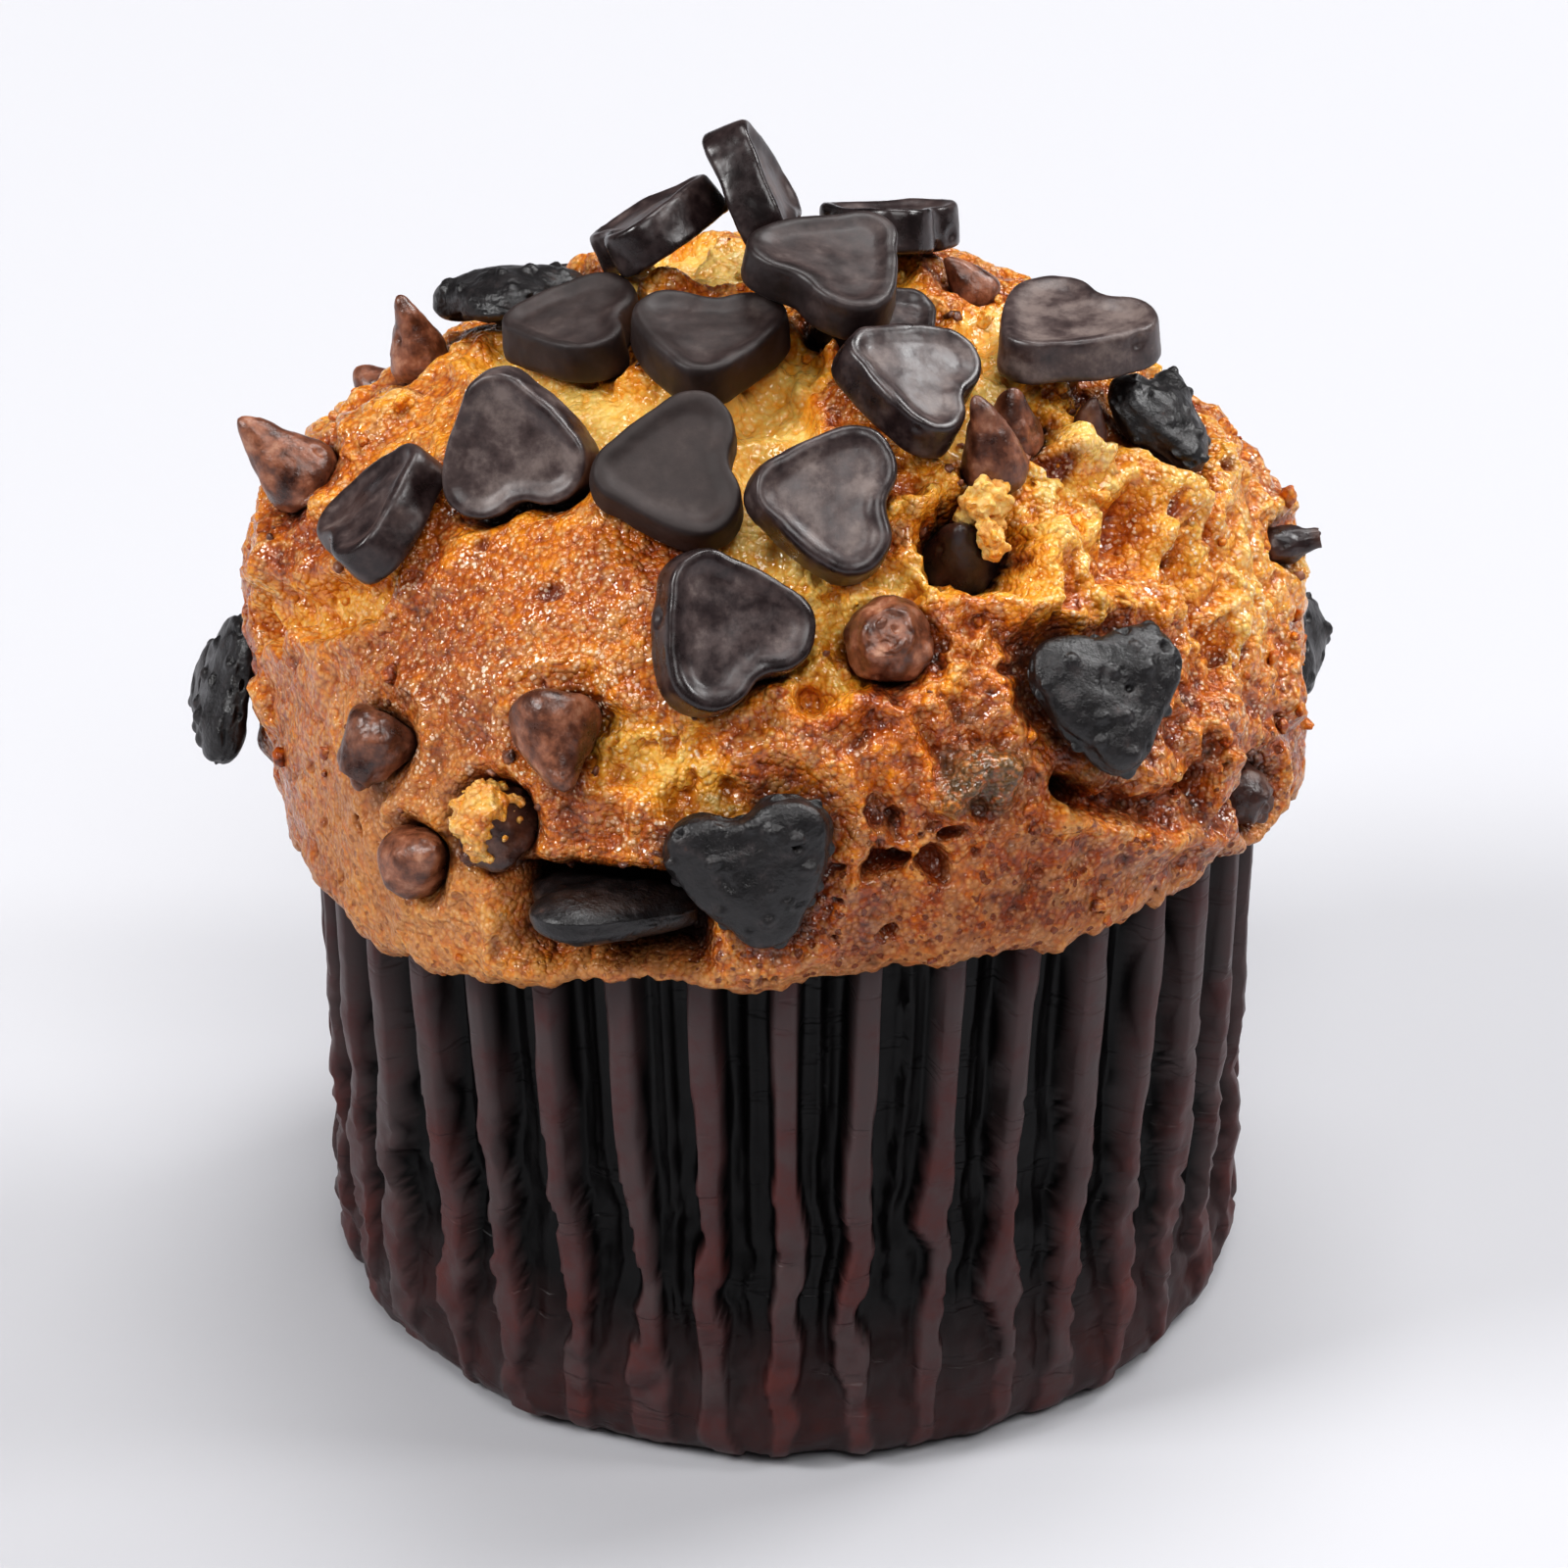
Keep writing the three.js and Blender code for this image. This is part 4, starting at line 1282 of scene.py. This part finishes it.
def make_hearts():
    fresh_finish = dark_chocolate_material()
    baked_finish = baked_chocolate_material()
    fresh = master_heart(0.6, 0.75, 0.55)
    baked = master_heart(-0.3, 1.7, 1.5)
    for number, seat in enumerate(s for s in SEATS if s.is_heart):
        piece = own_copy(baked if seat.is_baked else fresh)
        points = points_of(piece)
        dish = smoothstep(-0.8, -1.6, heart_distance(points[:, :2] / HEART_WIDTH) * HEART_WIDTH)
        dish *= points[:, 2] > 0.8
        spread = points + (0, 0, 31.0 * number)
        shape = shape_baked if seat.is_baked else shape_fresh
        if seat.is_baked:
            points = pillowed(points, *MELTED_HEARTS.get(seat.node, (PILLOW_REACH, PILLOW_EDGE)))
            set_points(piece, points)
        normal = normals_of(piece)
        change = shape(points, spread) * (MELTED_RELIEF if seat.node in MELTED_HEARTS else 1)
        points = points + normal * change[:, None]
        bow = 0.010 * math.sin(number * 1.9)
        points[:, 2] += bow * points[:, 0] ** 2 - 0.008 * math.cos(number * 2.7) * points[:, 1] ** 2
        set_points(piece, seat.to_world(fitted(points, seat)))
        store(piece, "dish", dish)
        store(piece, "matt", np.full(len(points), MATT_HEARTS.get(seat.node, 0.0)))
        store(piece, "bloom_and_sheen", np.full(len(points), BLOOM_AND_SHEEN_HEARTS.get(seat.node, 0.0)))
        finish = baked_finish if seat.is_baked else fresh_finish
        slot = "baked_chocolate" if seat.is_baked else "dark_chocolate"
        finish_piece(piece, seat.node + "_shaped", finish, slot, seat.node)
    for master in (fresh, baked):
        bpy.data.objects.remove(master)


def dark_chocolate_material():
    """Moulded dark chocolate: satin from the mould, dulled by a thin grey bloom and fine scuffs, with a
    painted sheen on the hearts that catch the light.
    """
    material, tree, shader, place = new_material("moulded_dark_chocolate")
    dish = add_node(tree, "ShaderNodeAttribute", attribute_name="dish").outputs["Fac"]
    bloom = add_node(
        tree,
        "ShaderNodeTexNoise",
        {"Vector": place, "Scale": 1 / (2.5 * MM), "Detail": 6, "Roughness": 0.65},
    ).outputs["Fac"]
    dished = add_node(
        tree, "ShaderNodeMath", {0: dish, 1: 0.12, 2: bloom}, operation="MULTIPLY_ADD"
    ).outputs[0]
    bloom_and_sheen = add_node(tree, "ShaderNodeAttribute", attribute_name="bloom_and_sheen").outputs["Fac"]
    # grey bloom plus a painted sheen: lighter tint on the hearts that catch the light
    dusted = add_node(
        tree, "ShaderNodeMath", {0: bloom_and_sheen, 1: 0.16, 2: dished}, operation="MULTIPLY_ADD"
    ).outputs[0]
    tint = add_node(
        tree,
        "ShaderNodeValToRGB",
        {"Fac": dusted},
        [(0.36, "#1A1111"), (0.53, "#2E2222"), (0.68, "#4B3D3B"), (0.86, "#766863")],
    ).outputs["Color"]
    matt = add_node(tree, "ShaderNodeAttribute", attribute_name="matt").outputs["Fac"]
    brown = add_node(
        tree, "ShaderNodeMath", {0: matt, 1: 0.75}, operation="MULTIPLY"
    ).outputs[0]
    browned = add_node(
        tree, "ShaderNodeMix", {0: brown, 6: tint, 7: linear("#24140F")}, data_type="RGBA"
    ).outputs[2]
    tree.links.new(browned, shader.inputs["Base Color"])
    rough = add_node(
        tree,
        "ShaderNodeMapRange",
        {"Value": dusted, "From Min": 0.4, "From Max": 0.75, "To Min": 0.24, "To Max": 0.44},
    ).outputs["Result"]
    dulled = add_node(
        tree, "ShaderNodeMix", {0: matt, 2: rough, 3: 0.62}, data_type="FLOAT"
    ).outputs[0]
    tree.links.new(dulled, shader.inputs["Roughness"])
    shader.inputs["IOR"].default_value = 1.5
    shader.inputs["Specular IOR Level"].default_value = 0.6
    scuff = add_node(
        tree,
        "ShaderNodeTexNoise",
        {"Vector": place, "Scale": 1 / (0.35 * MM), "Detail": 4, "Roughness": 0.6},
    ).outputs["Fac"]
    dimple = add_node(
        tree, "ShaderNodeBump", {"Height": scuff, "Strength": 0.35, "Distance": 0.04 * MM}
    ).outputs["Normal"]
    tree.links.new(dimple, shader.inputs["Normal"])
    return material


def baked_chocolate_material():
    """Chocolate that dried out in the oven: nearly black, matt, with tiny brown blisters."""
    material, tree, shader, place = new_material("oven_baked_chocolate")
    ash = add_node(
        tree,
        "ShaderNodeTexNoise",
        {"Vector": place, "Scale": 1 / (1.2 * MM), "Detail": 5, "Roughness": 0.62},
    ).outputs["Fac"]
    tint = add_node(
        tree,
        "ShaderNodeValToRGB",
        {"Fac": ash},
        [(0.34, "#0F0C0D"), (0.56, "#1A1617"), (0.68, "#2E2727"), (0.78, "#54382C")],
    ).outputs["Color"]
    tree.links.new(tint, shader.inputs["Base Color"])
    rough = add_node(
        tree,
        "ShaderNodeMapRange",
        {"Value": ash, "From Min": 0.35, "From Max": 0.7, "To Min": 0.30, "To Max": 0.46},
    ).outputs["Result"]
    tree.links.new(rough, shader.inputs["Roughness"])
    shader.inputs["IOR"].default_value = 1.5
    shader.inputs["Specular IOR Level"].default_value = 0.6
    scuff = add_node(
        tree,
        "ShaderNodeTexNoise",
        {"Vector": place, "Scale": 1 / (0.4 * MM), "Detail": 4, "Roughness": 0.6},
    ).outputs["Fac"]
    dimple = add_node(
        tree, "ShaderNodeBump", {"Height": scuff, "Strength": 0.8, "Distance": 0.12 * MM}
    ).outputs["Normal"]
    tree.links.new(dimple, shader.inputs["Normal"])
    return material


# ------------------------------------------------------------------ chocolate drops
DROP_MASTER_SIZE = 10.0
# How far a drop's point leans, in mm, and the height that a melted one is flattened to
DROP_LEANS = {
    "drop_left": (-0.4, 0, 0.7),
    "drop_right_crown": (-0.7, 0, 0),
    "drop_front": (0.8, 0, 0.5),
    "drop_upper_left": (-0.4, 0, 0),
}
MELTED_DROPS = {
    "drop_blunt": 0.16,
    "drop_crumbed": 0.22,
    "drop_front_left": 0.30,
    "drop_right_side": 0.24,
    "drop_right_edge": 0.12,
}
# How dark a drop is painted, 0 to 1: scorched by the oven, and painted shade on the drop down in the hollow
DROP_SCORCH_AND_SHADE = {
    "drop_in_hollow": 1.0,
    "drop_crumbed": 0.6,
    "drop_right_edge": 0.6,
    "drop_right_side": 0.7,
    "drop_right_small": 0.6,
    "drop_right_crown": 0.35,
    "drop_front_left": 0.3,
}


def master_drop():
    """A chocolate drop about the origin, point up, turned from its profile."""
    bpy.ops.object.select_all(action="DESELECT")
    bpy.ops.mesh.primitive_circle_add(vertices=len(DROP_PROFILE), radius=1, fill_type="NOTHING")
    drop = bpy.context.object
    set_points(drop, np.array([(r, 0, z) for r, z in DROP_PROFILE]) * DROP_MASTER_SIZE)
    closing = [abs(int(a) - int(b)) > 1 for a, b in edges_of(drop)]
    drop.data.vertices.foreach_set("select", [False] * len(drop.data.vertices))
    drop.data.edges.foreach_set("select", closing)
    bpy.ops.object.mode_set(mode="EDIT")
    bpy.ops.mesh.select_mode(type="EDGE")
    bpy.ops.mesh.delete(type="EDGE_FACE")
    bpy.ops.mesh.select_all(action="SELECT")
    bpy.ops.mesh.spin(steps=32, angle=2 * math.pi, center=(0, 0, 0), axis=(0, 0, 1))
    bpy.ops.mesh.select_all(action="SELECT")
    bpy.ops.mesh.remove_doubles(threshold=1e-5)
    bpy.ops.mesh.normals_make_consistent(inside=False)
    bpy.ops.object.mode_set(mode="OBJECT")
    apply_modifier(drop, "SUBSURF", levels=2, render_levels=2)
    return drop


def make_drops():
    finish = milk_chocolate_material()
    master = master_drop()
    for number, seat in enumerate(s for s in SEATS if not s.is_heart):
        width, height = seat.width, seat.size[2]
        piece = own_copy(master)
        points = points_of(piece) / DROP_MASTER_SIZE * (width, width, height)
        set_points(piece, points)
        spread = points + (0, 0, 23.0 * number)
        melted = MELTED_DROPS.get(seat.node)
        worn = 1.0 if melted else 0.55
        change = worn * (0.055 * width * lumps(spread, 0.5 * width, 2, 31) + 0.10 * lumps(spread, 1.3, 3, 32))
        away, label = cells(spread, 1.7, 34)
        change += worn * (0.22 * np.clip(1 - (away / 0.9) ** 2, 0, 1) * (label > 0.6))
        change -= 0.25 * (1 - smoothstep(0.2, 0.5, away)) * (label < 0.2)
        if melted:
            knobs = 0.5 * np.clip(1 - (away / 0.9) ** 2, 0, 1) * (label > 0.3)
            points[:, 2] = np.minimum(points[:, 2], melted * height + knobs)
        points = points + normals_of(piece) * change[:, None]
        leaning = np.clip(points[:, 2] / height + 0.1, 0, 1) ** 2 / 0.36
        points = seat.to_world(points * FILL)
        points += leaning[:, None] * np.array(DROP_LEANS.get(seat.node, (0.0, 0.0, 0.0)))
        set_points(piece, points)
        # darkness of each drop: its scorch, and painted shade for the one in the hollow
        scorch_and_shade = DROP_SCORCH_AND_SHADE.get(seat.node, 0.0) + 0.35 * lumps(spread, 3.0, 2, 35)
        store(piece, "scorch_and_shade", scorch_and_shade)
        finish_piece(piece, seat.node + "_shaped", finish, "milk_chocolate", seat.node)
    bpy.data.objects.remove(master)


def milk_chocolate_material():
    """Milk chocolate that softened and set again: satin brown under patches of pale bloom."""
    material, tree, shader, place = new_material("bloomed_milk_chocolate")
    bloom = add_node(
        tree,
        "ShaderNodeTexNoise",
        {"Vector": place, "Scale": 1 / (1.8 * MM), "Detail": 6, "Roughness": 0.6},
    ).outputs["Fac"]
    tint = add_node(
        tree,
        "ShaderNodeValToRGB",
        {"Fac": bloom},
        [(0.30, "#331810"), (0.45, "#5F3522"), (0.57, "#8E583E"), (0.73, "#BC8C70")],
    ).outputs["Color"]
    scorch_and_shade = add_node(tree, "ShaderNodeAttribute", attribute_name="scorch_and_shade").outputs["Fac"]
    # darker where scorched, and painted shade on the drop in the hollow
    darkened = add_node(
        tree, "ShaderNodeMix", {0: scorch_and_shade, 6: tint, 7: linear("#21171A")}, data_type="RGBA"
    ).outputs[2]
    tree.links.new(darkened, shader.inputs["Base Color"])
    rough = add_node(
        tree,
        "ShaderNodeMapRange",
        {"Value": bloom, "From Min": 0.35, "From Max": 0.7, "To Min": 0.26, "To Max": 0.46},
    ).outputs["Result"]
    tree.links.new(rough, shader.inputs["Roughness"])
    shader.inputs["IOR"].default_value = 1.5
    shader.inputs["Specular IOR Level"].default_value = 0.7
    scuff = add_node(
        tree,
        "ShaderNodeTexNoise",
        {"Vector": place, "Scale": 1 / (0.4 * MM), "Detail": 4, "Roughness": 0.6},
    ).outputs["Fac"]
    dimple = add_node(
        tree, "ShaderNodeBump", {"Height": scuff, "Strength": 0.6, "Distance": 0.10 * MM}
    ).outputs["Normal"]
    tree.links.new(dimple, shader.inputs["Normal"])
    return material


# ------------------------------------------------------------------ crumbs and flecks
CRUMB_SEED = 4
# Clusters of golden crumb: azimuth, elevation, height over the dome, reach, crumb sizes in mm, count
CLUSTERS = [
    (33.6, 49.6, 0.3, 1.3, (0.6, 1.2), 60),
    (31.8, 46.4, 0.5, 0.9, (0.4, 0.9), 40),
]
CRUMB_VOXEL = 0.14
CRUMBED_DROP = "drop_crumbed"


def master_grain(thickness):
    """An angular crumb one unit wide about the origin."""
    bpy.ops.object.select_all(action="DESELECT")
    bpy.ops.mesh.primitive_cube_add(size=1.0 * MM)
    grain = bpy.context.object
    bpy.ops.object.mode_set(mode="EDIT")
    bpy.ops.mesh.select_all(action="SELECT")
    bpy.ops.mesh.subdivide(number_cuts=1, smoothness=0.7)
    bpy.ops.transform.resize(value=(1, 0.8, thickness), center_override=(0, 0, 0))
    bpy.ops.object.mode_set(mode="OBJECT")
    return grain


def random_turn(rng):
    """A random rotation matrix."""
    axes = np.linalg.qr(np.array([[rng.gauss(0, 1) for _ in range(3)] for _ in range(3)]))[0]
    return axes * np.sign(np.linalg.det(axes))


def scatter(master, spots, rng):
    """Copies of a grain at spots of (place, size), each uneven in its own way, joined into one piece."""
    copies = []
    shape = points_of(master)
    for place, size in spots:
        piece = own_copy(master)
        uneven = shape * [[rng.uniform(0.6, 1.25) for _ in range(3)] for _ in shape]
        set_points(piece, np.array(place) + uneven @ random_turn(rng) * size)
        copies.append(piece)
    bpy.ops.object.select_all(action="DESELECT")
    for piece in copies:
        piece.select_set(True)
    bpy.context.view_layer.objects.active = copies[0]
    bpy.ops.object.join()
    joined = bpy.context.object
    bpy.data.objects.remove(master)
    return joined


def nearest_values(obj, name, points):
    """The value of a vertex attribute at the vertex nearest to each point."""
    tree = KDTree(len(obj.data.vertices))
    for index, place in enumerate(points_of(obj)):
        tree.insert(place, index)
    tree.balance()
    values = np.empty(len(obj.data.vertices), np.float32)
    obj.data.attributes[name].data.foreach_get("value", values)
    return values[[tree.find(point)[1] for point in points]]


def fuse_crumbs(crumbs, crust, heap_middle):
    """Fuses crumbs that touch into craggy lumps, and gives each part its bake."""
    apply_modifier(crumbs, "REMESH", mode="VOXEL", voxel_size=CRUMB_VOXEL * MM)
    points = points_of(crumbs)
    points = points + normals_of(crumbs) * (0.14 * lumps(points, 0.6, 2, 52))[:, None]
    set_points(crumbs, points)
    clump = smoothstep(5, 3, spot_distance(points, *CLUSTERS[0][:2]))
    heap = smoothstep(5, 3.5, np.linalg.norm(points - heap_middle, axis=1))
    bake = nearest_values(crust, "bake", points) + 0.05
    bake = (bake * (1 - heap) + 0.26 * heap) * (1 - clump) + 0.10 * clump
    bake += 0.34 * lumps(points, 1.6, 3, 51)
    store(crumbs, "bake", bake)
    store(crumbs, "moist", 0.4 * (1 - np.maximum(clump, heap)))
    store(crumbs, "dry", 0.3 * np.maximum(clump, heap))
    store(crumbs, "gloss", 0.6 - 0.4 * clump)


def crust_spots(crust, weights, count, sizes, rng):
    """Random spots on the crust, half sunk in it."""
    points = points_of(crust)
    picked = rng.choices(range(len(points)), weights=weights, k=count)
    return [(points[i], rng.uniform(*sizes) ** 2 / sizes[1]) for i in picked]


def make_crumbs(crust):
    rng = random.Random(CRUMB_SEED)
    points = points_of(crust)
    azimuth, elevation = angles_of(points - DOME_CENTRE)
    lip = rim_height(azimuth)
    shown = points[:, 2] > lip + 0.5
    covered = np.empty(len(points), np.float32)
    crust.data.attributes["hollow_shade"].data.foreach_get("value", covered)
    open_crust = shown * (covered < 0.3)
    weights = open_crust * np.clip(ruggedness(azimuth, elevation) - 0.1, 0.02, 1)
    spots = crust_spots(crust, weights, 230, (0.35, 1.2), rng)
    near_lip = open_crust * (points[:, 2] < lip + 2.2)
    spots += crust_spots(crust, near_lip, 110, (0.4, 1.2), rng)
    for at_azimuth, at_elevation, height, reach, sizes, count in CLUSTERS:
        middle = dome_points(np.array(at_azimuth), np.array(at_elevation))
        middle = middle + height * directions(np.array(at_azimuth), np.array(at_elevation))
        for _ in range(count):
            spots.append((middle + [rng.gauss(0, 0.5 * reach) for _ in range(3)], rng.uniform(*sizes)))
    crumbed = next(seat for seat in SEATS if seat.node == CRUMBED_DROP)
    flecks = []
    drop_points = points_of(bpy.data.objects[CRUMBED_DROP + "_shaped"])
    local = crumbed.to_local(drop_points) / crumbed.width
    at = np.linalg.norm((local - (-0.08, 0.04, 0.1)) * (0.7, 1.5, 1), axis=1)
    chances = np.exp(-((at / 0.30) ** 2)) * (local[:, 2] > -0.1)
    for index in rng.choices(range(len(local)), weights=chances, k=330):
        spots.append((drop_points[index], rng.uniform(0.3, 0.8)))
    for index in rng.choices(range(len(local)), weights=local[:, 2] > -0.1, k=260):
        flecks.append((drop_points[index], rng.uniform(0.4, 0.95)))
    crumbs = scatter(master_grain(0.7), spots, rng)
    fuse_crumbs(crumbs, crust, crumbed.centre)
    finish_piece(crumbs, "golden_crumbs", crust.data.materials[0], "crust")

    for _ in range(90):
        seat = rng.choice(SEATS)
        angle = rng.uniform(0, 2 * math.pi)
        reach = seat.width * 0.5 + rng.uniform(0.0, 1.6)
        target = seat.centre + reach * (math.cos(angle) * seat.side + math.sin(angle) * seat.notch)
        nearest = int(np.argmin(np.linalg.norm(points - target, axis=1) + 100 * ~open_crust.astype(bool)))
        flecks.append((points[nearest], rng.uniform(0.4, 0.95) ** 2))
    chips = scatter(master_grain(0.45), flecks, rng)
    finish_piece(chips, "chocolate_flecks", bpy.data.materials["bloomed_milk_chocolate"], "milk_chocolate")


# ------------------------------------------------------------------ floor and light
def make_stage():
    bpy.ops.mesh.primitive_plane_add(size=6, location=(0, 0, -0.0002))
    floor = bpy.context.object
    floor.name = "floor"
    material, tree, shader, place = new_material("pale_paper_backdrop")
    shader.inputs["Base Color"].default_value = linear("#C3C3C7")
    shader.inputs["Roughness"].default_value = 0.95
    shader.inputs["Specular IOR Level"].default_value = 0.2
    floor.data.materials.append(material)


def add_light(name, azimuth, elevation, distance, size, power, colour="#FFFFFF"):
    """A square soft light aimed at the middle of the muffin."""
    look = Vector(directions(np.array(float(azimuth)), np.array(float(elevation))))
    middle = Vector((0, 0, 0.045))
    bpy.ops.object.light_add(type="AREA", location=middle + look * distance)
    light = bpy.context.object
    light.name = name
    light.rotation_euler = look.to_track_quat("Z", "Y").to_euler()
    light.data.size = size
    light.data.energy = power
    light.data.color = linear(colour)[:3]


def make_lights():
    add_light("left_softbox", -71, 38, 2.5, 0.8, 34)
    add_light("rear_right_softbox", 122, 42, 2.5, 0.8, 27)
    add_light("right_window", 84, 38, 2.5, 0.4, 12)
    add_light("overhead_softbox", 170, 74, 2.5, 1.2, 28)
    add_light("front_softbox", 12, 52, 2.5, 1.2, 22)
    world = bpy.data.worlds.new("dim_room")
    bpy.context.scene.world = world
    world.use_nodes = True
    sky = world.node_tree.nodes["Background"]
    sky.inputs["Color"].default_value = linear("#F6F7FA")
    sky.inputs["Strength"].default_value = 0.1
    bpy.context.scene.view_settings.view_transform = "Standard"
    bpy.context.scene.view_settings.look = "Medium High Contrast"


make_camera()
make_stage()
make_lights()
crust = make_crust()
make_case()
make_hearts()
make_drops()
make_crumbs(crust)
